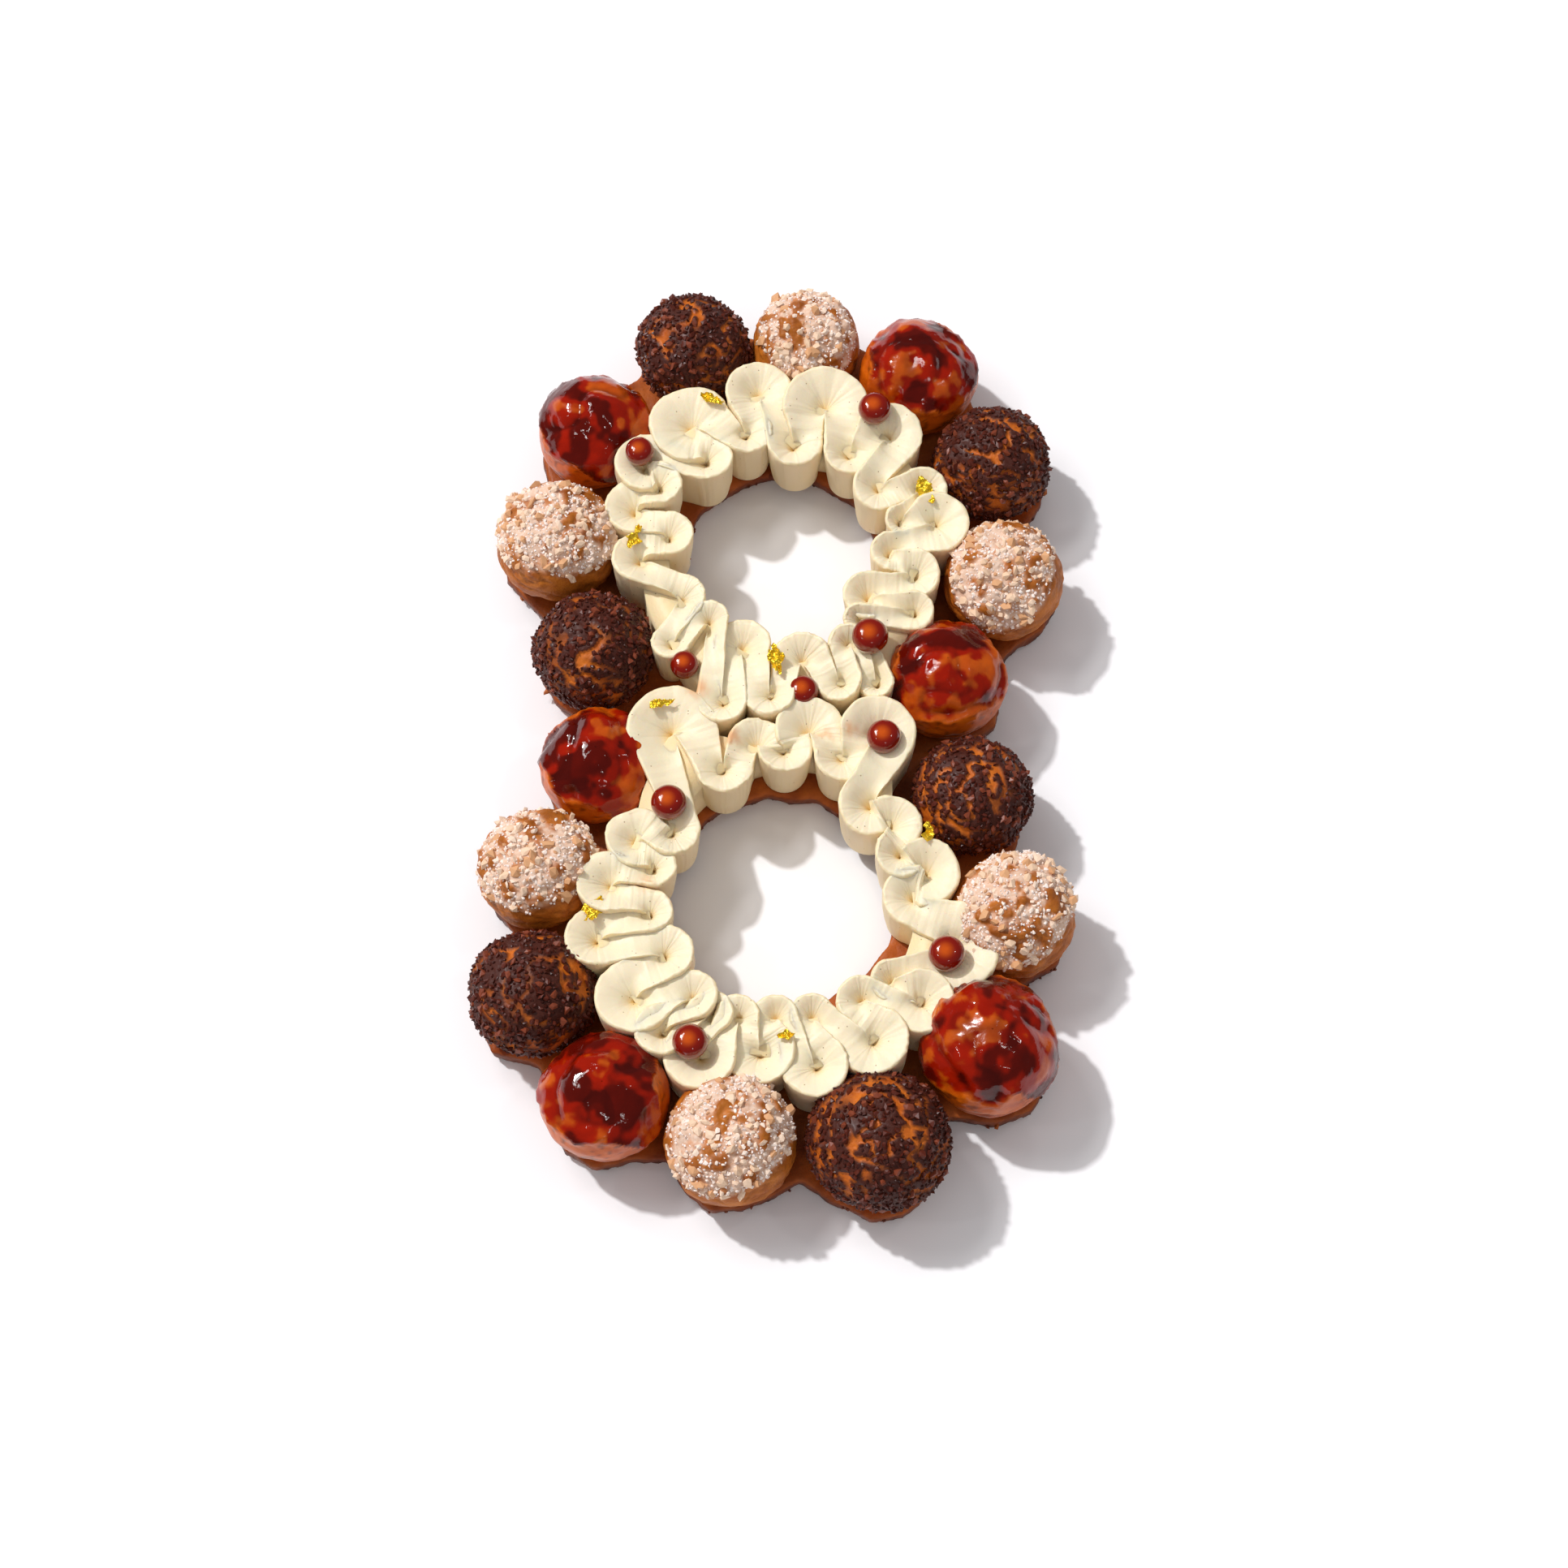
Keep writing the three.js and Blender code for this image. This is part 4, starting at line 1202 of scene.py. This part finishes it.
class CaramelRelief(Relief):
    """Clear caramel over a blistered crown, with a jagged rim and a split lip low on one side."""

    EDGE = 18
    WAVES = ((9, 3, 1), (5, 5, 2))
    RAGGED = 14
    JAGS = Noise(3.0, 2, 19)
    JAG = 7
    EDGE_BLEND = 4
    BLISTERS = Noise(17, 2, 18)
    BLISTER_GAIN = 2.6
    VALLEY = 0.3
    BLISTER = 1.5
    BLISTER_TOP = 1.1
    BLISTER_SUNK = 0.75
    GLOW = Noise(9, 3, 25)
    SMALL = Noise(3.4, 2, 21)
    SMALL_RISE = 0.3
    THIN = 0.55
    THIN_FROM = 0.12
    THIN_BLEND = 0.2
    BARE = 0.12
    RIM = 0.75
    RIM_WIDTH = 5
    RIM_ROUGH = 0.8
    POOL_FROM = 0.04
    POOL_BLEND = 0.25
    POOL_SHADE = 0.75
    VALLEY_SHADE = 0.4
    DARKEST = 0.85
    LIP_LATITUDE = -10
    LIP_SWAY = 4
    LIP_WIDTH = 3.5
    LIP_DEPTH = 1.1
    LIP_SHADE = 0.5
    FLAWS = Noise(1.8, 2, 23)
    FLAW_FROM = 0.33
    FLAW_BLEND = 0.12

    def work(self) -> None:
        """Blisters the crown, pools the caramel and splits the lip."""
        edge = self.edge() + self.JAG * self.at(self.JAGS)
        over = self.above(edge)
        bumps = np.abs(self.at(self.BLISTERS)) * self.BLISTER_GAIN
        valley = 1 - smooth(bumps / self.VALLEY)
        glow = self.at(self.GLOW)
        small = self.at(self.SMALL)
        thin = smooth((glow + self.SMALL_RISE * small - self.THIN_FROM) / self.THIN_BLEND)
        self.cover = over * (1 - self.THIN * thin) + (1 - over) * self.BARE
        blister = self.BLISTER * np.minimum(bumps, self.BLISTER_TOP) - self.BLISTER_SUNK
        self.rise += over * blister + self.SMALL_RISE * small
        rim = np.exp(-(((self.latitude - edge) / self.RIM_WIDTH) ** 2))
        self.rise += self.RIM * rim * (1 + self.RIM_ROUGH * self.fine)
        pool = smooth((-glow - self.POOL_FROM) / self.POOL_BLEND)
        # Painted shade in the valleys between the blisters, and darker pools where the caramel lies thick.
        dark = np.clip(self.VALLEY_SHADE * valley + self.POOL_SHADE * pool, 0, self.DARKEST)
        middle = self.LIP_LATITUDE - self.LIP_SWAY * np.sin(self.bearing + self.seed)
        lip = np.exp(-((self.latitude - middle) / self.LIP_WIDTH) ** 2)
        lip *= smooth(0.3 + np.cos(self.bearing + math.pi / 2 + 0.5 * np.sin(self.seed)))
        self.rise -= self.LIP_DEPTH * lip
        flaw = self.at(self.FLAWS) - self.FLAW_FROM
        flaw = smooth(flaw / self.FLAW_BLEND) * (1 - over)
        # Painted shade in the split lip's groove, and dark flaws on the bare crust.
        self.burnt = np.maximum(over * dark, self.LIP_SHADE * np.maximum(lip, flaw))


RELIEFS: dict[Crust, type[Relief]] = {
    Crust.CHOCOLATE: CraquelinRelief,
    Crust.SUGAR: SugarRelief,
    Crust.CARAMEL: CaramelRelief,
}


@dataclass
class ChouxPuff:
    """A choux puff with one of three crusts. Sizes in millimetres."""

    node: str
    crust: Crust
    seed: int
    sides: int = 112
    lower_rows: int = 18
    upper_rows: int = 44
    height_share: float = 0.75
    waist_share: float = 0.4
    foot_angle: float = 46.0
    foot_rows: tuple[float, ...] = (0.0, 0.35, 0.66)
    pole: float = 0.008
    dent: float = 0.3

    def __post_init__(self) -> None:
        """Reads the puff's place and size from its CAD node."""
        low, high = (np.array(corner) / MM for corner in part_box(self.node))
        self.centre = (low[:2] + high[:2]) / 2
        self.radius = float((high[0] - low[0] + high[1] - low[1]) / 4) + self.dent
        self.foot = float(low[2])
        self.height = 2 * self.radius * self.height_share
        self.waist = self.height * self.waist_share

    def skin(self) -> tuple[np.ndarray, np.ndarray]:
        """The undented body, its crown on the axis.

        Returns:
            Points round the axis and their latitude from the waist, in degrees.
        """
        foot = math.radians(self.foot_angle)
        lower = np.linspace(foot, 0, self.lower_rows, endpoint=False)
        upper = np.linspace(0, math.pi / 2, self.upper_rows)[:-1]
        reach = np.concatenate([self.foot_rows, np.cos(lower), np.cos(upper), [self.pole]]) * self.radius
        rise = np.concatenate([[0.0] * len(self.foot_rows),
                               self.waist * (1 - np.sin(lower) / math.sin(foot)),
                               self.waist + (self.height - self.waist) * np.sin(upper), [self.height]])
        points = turned_grid(reach, rise, self.sides)
        flat = np.hypot(points[:, 0], points[:, 1])
        return points, np.degrees(np.arctan2(points[:, 2] - self.waist, flat))

    def build(self, finish: bpy.types.Material) -> Skin:
        """Builds the puff.

        Args:
            finish: the puff's material.

        Returns:
            The puff's object, its points, faces and how thickly grains lie at each point.
        """
        points, latitude = self.skin()
        relief = RELIEFS[self.crust](points, latitude, self.seed)
        way = points - np.array([0, 0, self.waist])
        way /= np.maximum(np.linalg.norm(way, axis=1), 1e-6)[:, None]
        points = points + way * relief.rise[:, None]
        points += np.array([*self.centre, self.foot])
        faces = grid_faces(len(points) // self.sides, self.sides, True)
        piece = make_piece(self.node.replace("puff", "choux"), points, faces, finish, relief.shades())
        return piece, points, faces, np.clip(relief.strew, 0, 1)


@dataclass
class Topping:
    """Surfaces gathered so that one kind of grain is strewn over them all."""

    strewing: Strewing
    finish: bpy.types.Material

    def __post_init__(self) -> None:
        """Starts with no surfaces."""
        self.points: list[np.ndarray] = []
        self.faces: list[np.ndarray] = []
        self.cover: list[np.ndarray] = []
        self.count = 0

    def gather(self, points: np.ndarray, faces: np.ndarray, cover: np.ndarray) -> None:
        """Adds a surface and where on it grains lie."""
        self.points.append(points)
        self.faces.append(faces + self.count)
        self.cover.append(cover)
        self.count += len(points)

    def build(self) -> bpy.types.Object:
        """Strews the grains over all the gathered surfaces."""
        surface = make_piece("strewn_surface", np.concatenate(self.points), np.concatenate(self.faces),
                             self.finish, {"strew": np.concatenate(self.cover)})
        return self.strewing.strew(surface, self.finish)


@dataclass
class Pearl:
    """A glazed caramel pearl with a low crown. Sizes in millimetres."""

    node: str
    sides: int = 40
    rows: int = 26
    squareness: float = 0.62
    under: float = 0.97
    pole: float = 0.01
    # Where the painted orange light in the crown lies, as shares of the radius, and how strong it is.
    heart_place: tuple[float, float] = (-0.12, -0.05)
    heart_light: float = 0.9

    def build(self, finish: bpy.types.Material) -> bpy.types.Object:
        """Builds the pearl in its CAD node's box."""
        low, high = (np.array(corner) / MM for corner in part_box(self.node))
        radius = float(high[0] - low[0] + high[1] - low[1]) / 4
        height = float(high[2] - low[2])
        turn = np.linspace(-math.pi / 2, math.pi / 2, self.rows)
        reach = np.abs(np.cos(turn)) ** self.squareness * radius * np.where(turn < 0, self.under, 1.0)
        reach[0] = reach[-1] = self.pole
        points = turned_grid(reach, height / 2 * np.sin(turn), self.sides)
        flat = np.hypot(points[:, 0], points[:, 1]) / radius
        # Painted light: an orange glow in the crown, a little off its middle, where light through the clear
        # caramel would gather.
        x, y = (share * radius for share in self.heart_place)
        glow = np.hypot(points[:, 0] - x, points[:, 1] - y) / radius
        heart = smooth(1.15 - 1.9 * glow) * (points[:, 2] > 0) * self.heart_light
        side = smooth((flat - 0.9) / 0.1) * smooth((0.15 - points[:, 2] / height) / 0.3)
        points += (low + high) / 2
        return make_piece(self.node.replace("pearl", "caramel_pearl"), points,
                          grid_faces(self.rows, self.sides, True), finish, {"heart": heart, "side": side})


# Flakes of gold leaf as the CAD part has them: x, y, length, width and bearing in degrees.
LEAVES: Table = (
    (-20.6, 117.0, 9, 6, 150), (-46.3, 64.8, 11, 8, 65), (50.8, 82.7, 13, 7, 115), (1.3, 20.7, 13, 8, 100),
    (-37.0, 4.9, 11, 5, 20), (49.8, -40.3, 8, 4, 80), (-56.6, -65.8, 11, 7, 55), (4.6, -108.5, 9, 5, 10),
)


@dataclass
class Flake:
    """A crumpled flake of gold leaf. Sizes in millimetres."""

    node: str
    place: tuple[float, ...]
    seed: int
    columns: int = 34
    rows: int = 22
    thickness: float = 0.12
    crumple: float = 1.1
    sink: float = 0.3
    tears: Noise = Noise(1.6, 2, 0)
    tear: float = 0.35
    taper: float = 0.5
    pulls: Noise = Noise(1.4, 2, 3)
    pull: float = 0.2
    folds: Noise = Noise(2.6, 3, 7)
    drifts: tuple[Noise, Noise] = (Noise(2, 2, 11), Noise(2, 2, 12))
    drift: float = 0.5
    outline: Noise = Noise(2.2, 2, 15)
    raggedness: float = 0.55
    reach: float = 0.72

    def build(self, finish: bpy.types.Material) -> bpy.types.Object:
        """Builds the flake over its CAD node: torn edges, sharp folds, two faces split alike."""
        x, y, length, width, bearing = self.place
        low = np.array(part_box(self.node)[0]) / MM
        u, v = np.meshgrid(np.linspace(-0.5, 0.5, self.columns), np.linspace(-0.5, 0.5, self.rows),
                           indexing="xy")
        u, v = u.ravel(), v.ravel()
        flat = np.column_stack([u * length, v * width, np.full(len(u), self.seed * 3.0)])
        narrow = 1 + self.tear * self.tears.over(flat * np.array([1, 0, 1]), self.seed)
        narrow = narrow * (1 - self.taper * np.abs(2 * u))
        stretch = 1 + self.pull * self.pulls.over(flat * np.array([0, 1, 1]), self.seed)
        cos, sin = math.cos(math.radians(bearing)), math.sin(math.radians(bearing))
        plan = np.outer(u * length * stretch, [cos, sin]) + np.outer(v * width * narrow, [-sin, cos])
        fold = 1 - 2 * np.abs(self.folds.over(flat, self.seed))
        height = low[2] - self.sink + self.crumple * fold
        plan += self.drift * np.column_stack([noise.over(flat, self.seed) for noise in self.drifts])
        top = np.column_stack([plan[:, 0] + x, plan[:, 1] + y, height + self.thickness])
        under = top - np.array([0, 0, self.thickness])
        count = len(top)
        sheet = grid_faces(self.rows, self.columns, False)
        middle = flat[sheet].mean(axis=1)
        away = np.hypot(middle[:, 0] / length, middle[:, 1] / width) * 2
        sheet = sheet[away + self.raggedness * self.outline.over(middle, self.seed) < self.reach]
        edges = {(int(a), int(b)) for quad in sheet for a, b in zip(quad, np.roll(quad, -1))}
        band = [(b, a, a + count, b + count) for a, b in edges if (b, a) not in edges]
        faces = [*sheet.tolist(), *(sheet[:, ::-1] + count).tolist(), *band]
        return make_piece(self.node.replace("gold_leaf", "gold_flake"), np.concatenate([top, under]), faces,
                          finish, flat=True)


@dataclass
class PastryBase:
    """The baked base, refined from its CAD node. Sizes in millimetres."""

    grain: float = 1.15
    lumps: Noise = Noise(7, 2, 71)
    lump: float = 0.45
    crumbs: Noise = Noise(2.2, 2, 75)
    crumb: float = 0.5
    smooth_share: float = 0.35
    flat_rise: float = 0.25
    still_foot: float = 0.5
    scorches: Noise = Noise(3, 2, 77)
    scorch: float = 0.9
    browns: Noise = Noise(8, 2, 79)
    drifts: Noise = Noise(8, 2, 81)
    hole_reach: float = 4.0
    outer_strew: float = 0.45
    holes: Table = ((3.6, 67.4, 33.5), (2.6, -54.6, 37.0))

    def remeshed(self) -> tuple[np.ndarray, np.ndarray, list[tuple[int, ...]]]:
        """Points, normals and faces of the CAD node, remeshed finely."""
        copy = bpy.data.objects.new("base_copy", frame["nodes"]["base"].data.copy())
        bpy.context.scene.collection.objects.link(copy)
        remesh = copy.modifiers.new("remesh", "REMESH")
        remesh.mode = "VOXEL"
        remesh.voxel_size = self.grain * MM
        mesh = evaluated_mesh(copy)
        bpy.data.objects.remove(copy)
        points = np.array([vertex.co for vertex in mesh.vertices]) / MM
        normals = np.array([vertex.normal for vertex in mesh.vertices])
        faces = [tuple(face.vertices) for face in mesh.polygons]
        bpy.data.meshes.remove(mesh)
        return points, normals, faces

    def build(self, finish: bpy.types.Material) -> Skin:
        """Roughens the remeshed node, crumbliest at its sides.

        Args:
            finish: the base's material.

        Returns:
            The base's object, its points, faces and how thickly crumbs lie at each point.
        """
        points, normals, faces = self.remeshed()
        side = smooth((0.75 - np.abs(normals[:, 2])) / 0.4)
        free = smooth((points[:, 2] - self.still_foot) / 1.2)
        rise = self.lump * self.lumps.over(points)
        rise += self.crumb * self.crumbs.over(points) * (self.smooth_share + (1 - self.smooth_share) * side)
        rise = np.where(normals[:, 2] > 0.6, np.minimum(rise, self.flat_rise), rise)
        points = points + normals * (rise * free)[:, None]
        near_hole = np.min([np.abs(np.hypot(points[:, 0] - x, points[:, 1] - y) - r)
                            for x, y, r in self.holes], axis=0)
        low = smooth((5.5 - points[:, 2]) / 3)
        burnt = np.clip(side * (0.35 + 0.65 * low) * self.scorch, 0, 1)
        burnt *= 0.55 + 0.6 * smooth(0.5 + self.scorches.over(points))
        tone = np.clip(0.25 + 0.4 * self.browns.over(points), 0, 1)
        strew = side * smooth((6.5 - points[:, 2]) / 3) * smooth(0.3 + 1.2 * self.drifts.over(points))
        strew *= np.where(near_hole < self.hole_reach, 1.0, self.outer_strew)
        piece = make_piece("pastry_base", points, faces, finish,
                           {"tone": tone, "cover": np.clip(side * 0.5, 0, 1), "burnt": np.clip(burnt, 0, 1)})
        return piece, points, faces, np.clip(strew, 0, 1)


@dataclass
class Studio:
    """Pale floor, hard key from the upper left, soft fill and the photo's camera. Sizes in metres."""

    floor: float = 6.0
    aim: tuple[float, float, float] = (0.0038, -0.0102, 0.0)
    distance: float = 1.232
    elevation: float = 68.0
    lens: float = 85.0
    sensor: float = 36.0
    key_bearing: float = 145.0
    key_elevation: float = 50.0
    key_strength: float = 2.2
    key_angle: float = 2.6
    fill: float = 0.45
    gloss_fill: float = 0.12
    fill_colour: tuple[float, float, float] = (1.0, 0.985, 0.99)
    strips: tuple[tuple, ...] = (
        ("window", (-0.55, 0.35, 1.1), (0.5, 0.16), 3.0),
        ("lamp_left", (-0.75, -0.25, 0.9), (0.05, 0.05), 0.35),
        ("lamp_right", (0.55, 0.1, 1.0), (0.05, 0.05), 0.35),
        ("lamp_front", (0.2, -0.8, 0.8), (0.05, 0.05), 0.3),
    )

    def build(self) -> None:
        """Builds the floor, the lights and the camera."""
        half = self.floor / 2
        corners = np.array([(-half, -half, 0), (half, -half, 0), (half, half, 0), (-half, half, 0)]) / MM
        floor = make_piece("floor", corners, [(0, 1, 2, 3)], WhiteCard().material)
        world = bpy.data.worlds.new("soft_room")
        world.use_nodes = True
        tree = world.node_tree
        room = tree.nodes["Background"]
        room.inputs["Color"].default_value = (*self.fill_colour, 1)
        room.inputs["Strength"].default_value = self.fill
        gloss = add_node(tree, "ShaderNodeBackground", None, {"Strength": self.gloss_fill})
        rays = add_node(tree, "ShaderNodeLightPath")
        mixed = add_node(tree, "ShaderNodeMixShader", None, None,
                         {0: rays.outputs["Is Glossy Ray"], 1: room.outputs[0], 2: gloss.outputs[0]})
        tree.links.new(mixed.outputs[0], tree.nodes["World Output"].inputs["Surface"])
        bpy.context.scene.world = world
        bpy.context.scene.view_settings.view_transform = "Standard"
        self.sun()
        for name, place, size, watts in self.strips:
            self.strip(name, place, size, watts)
        self.camera()

    def sun(self) -> None:
        """Adds the key light."""
        data = bpy.data.lights.new("key", "SUN")
        data.energy = self.key_strength
        data.angle = math.radians(self.key_angle)
        light = bpy.data.objects.new("key", data)
        bearing, rise = math.radians(self.key_bearing), math.radians(self.key_elevation)
        level = math.cos(rise)
        toward = Vector((math.cos(bearing) * level, math.sin(bearing) * level, math.sin(rise)))
        light.rotation_mode = "QUATERNION"
        light.rotation_quaternion = toward.to_track_quat("Z", "Y")
        bpy.context.scene.collection.objects.link(light)

    @staticmethod
    def strip(name: str, place: tuple[float, float, float], size: tuple[float, float], energy: float) -> None:
        """Adds a small soft light that aims at the middle of the cake and shows in its gloss."""
        data = bpy.data.lights.new(name, "AREA")
        data.shape = "RECTANGLE"
        data.size, data.size_y = size
        data.energy = energy
        light = bpy.data.objects.new(name, data)
        light.location = place
        light.rotation_mode = "QUATERNION"
        light.rotation_quaternion = Vector(place).to_track_quat("Z", "Y")
        bpy.context.scene.collection.objects.link(light)

    def camera(self) -> None:
        """Adds the camera at the photo's angle."""
        data = bpy.data.cameras.new("camera")
        data.lens, data.sensor_width = self.lens, self.sensor
        data.clip_end = 20
        camera = bpy.data.objects.new("camera", data)
        rise = math.radians(self.elevation)
        back = Vector((0, -math.cos(rise), math.sin(rise)))
        camera.location = Vector(self.aim) + back * self.distance
        camera.rotation_euler = (math.pi / 2 - rise, 0, 0)
        bpy.context.scene.collection.objects.link(camera)
        bpy.context.scene.camera = camera


# Toasted patches on the cream: x, y and radius in millimetres.
TOAST: Table = (
    (-24.5, 11.5, 5.0), (-13.5, -6.5, 4.5), (17.0, -5.5, 4.0), (25.0, -4.5, 4.0), (-40.5, -56.5, 4.0),
)
# Middle of each ring of cream, and its seed.
RINGS = ((Ring.UPPER, (3.8, 66.9), 3), (Ring.LOWER, (2.2, -60.2), 8))
FINISHES: dict[Crust, tuple[type[Finish], str]] = {
    Crust.CHOCOLATE: (CraquelinChoux, "craquelin"),
    Crust.SUGAR: (SugaredChoux, "sugared_choux"),
    Crust.CARAMEL: (CaramelChoux, "caramel_choux"),
}
FIRST_PUFF_SEED = 200
PUFF_SEED_STEP = 7
FIRST_LEAF_SEED = 31
# Where nuts and icing sugar gather on the sugared crowns.
NUT_DRIFTS = Noise(6, 2, 91)
SUGAR_DRIFTS = Noise(4, 2, 95)


def build_puffs() -> None:
    """Builds the puffs and strews their toppings."""
    finishes = {crust: finish().material for crust, (finish, _) in FINISHES.items()}
    grains = Topping(Strewing("craquelin_grains", spacing=1.3, density=0.75, smallest=0.65, largest=1.4,
                              seed=5), ChocolateGrain().material)
    nuts = Topping(Strewing("chopped_nuts", spacing=1.5, density=0.55, smallest=0.6, largest=1.9,
                            seed=6), NutBit().material)
    sugar = Topping(Strewing("icing_sugar_lumps", spacing=0.9, density=1.0, smallest=0.28, largest=0.75,
                             seed=7), IcingSugar().material)
    for number, node in enumerate(sorted(name for name in frame["nodes"] if name.startswith("puff_"))):
        crust = Crust(node.split("_")[1])
        puff = ChouxPuff(node, crust, FIRST_PUFF_SEED + number * PUFF_SEED_STEP)
        piece, points, faces, strew = puff.build(finishes[crust])
        place_piece(piece, FINISHES[crust][1], node)
        if crust is Crust.CHOCOLATE:
            grains.gather(points, faces, strew)
        elif crust is Crust.SUGAR:
            nuts.gather(points, faces, strew * smooth(0.75 + NUT_DRIFTS.over(points)))
            sugar.gather(points, faces, strew * smooth(0.8 + SUGAR_DRIFTS.over(points)))
    for topping, crust in ((grains, Crust.CHOCOLATE), (nuts, Crust.SUGAR), (sugar, Crust.SUGAR)):
        place_piece(topping.build(), FINISHES[crust][1])


def main() -> None:
    """Builds the cake piece by piece."""
    logging.basicConfig(level=logging.INFO, format="%(name)s: %(message)s")
    base, points, faces, strew = PastryBase().build(BakedPastry().material)
    place_piece(base, "pastry", "base")
    crumbs = Topping(Strewing("burnt_crumbs", spacing=1.9, density=0.16, smallest=0.7, largest=1.5,
                              seed=8), BurntCrumb().material)
    crumbs.gather(points, np.array([face for face in faces if len(face) == 4]), strew)
    place_piece(crumbs.build(), "pastry")
    build_puffs()
    cream = WhippedCream().material
    for ring, centre, seed in RINGS:
        place_piece(PipedCream(ring, centre, seed).build(TOAST, cream), "cream", f"cream_{ring.value}")
    glaze = CaramelPearl().material
    for node in sorted(name for name in frame["nodes"] if name.startswith("pearl_")):
        place_piece(Pearl(node).build(glaze), "caramel_pearl", node)
    gold = GoldLeaf().material
    for number, place in enumerate(LEAVES):
        node = f"gold_leaf_{number + 1}"
        place_piece(Flake(node, place, FIRST_LEAF_SEED + number).build(gold), "gold_leaf", node)
    Studio().build()


if __name__ == "__main__":
    main()
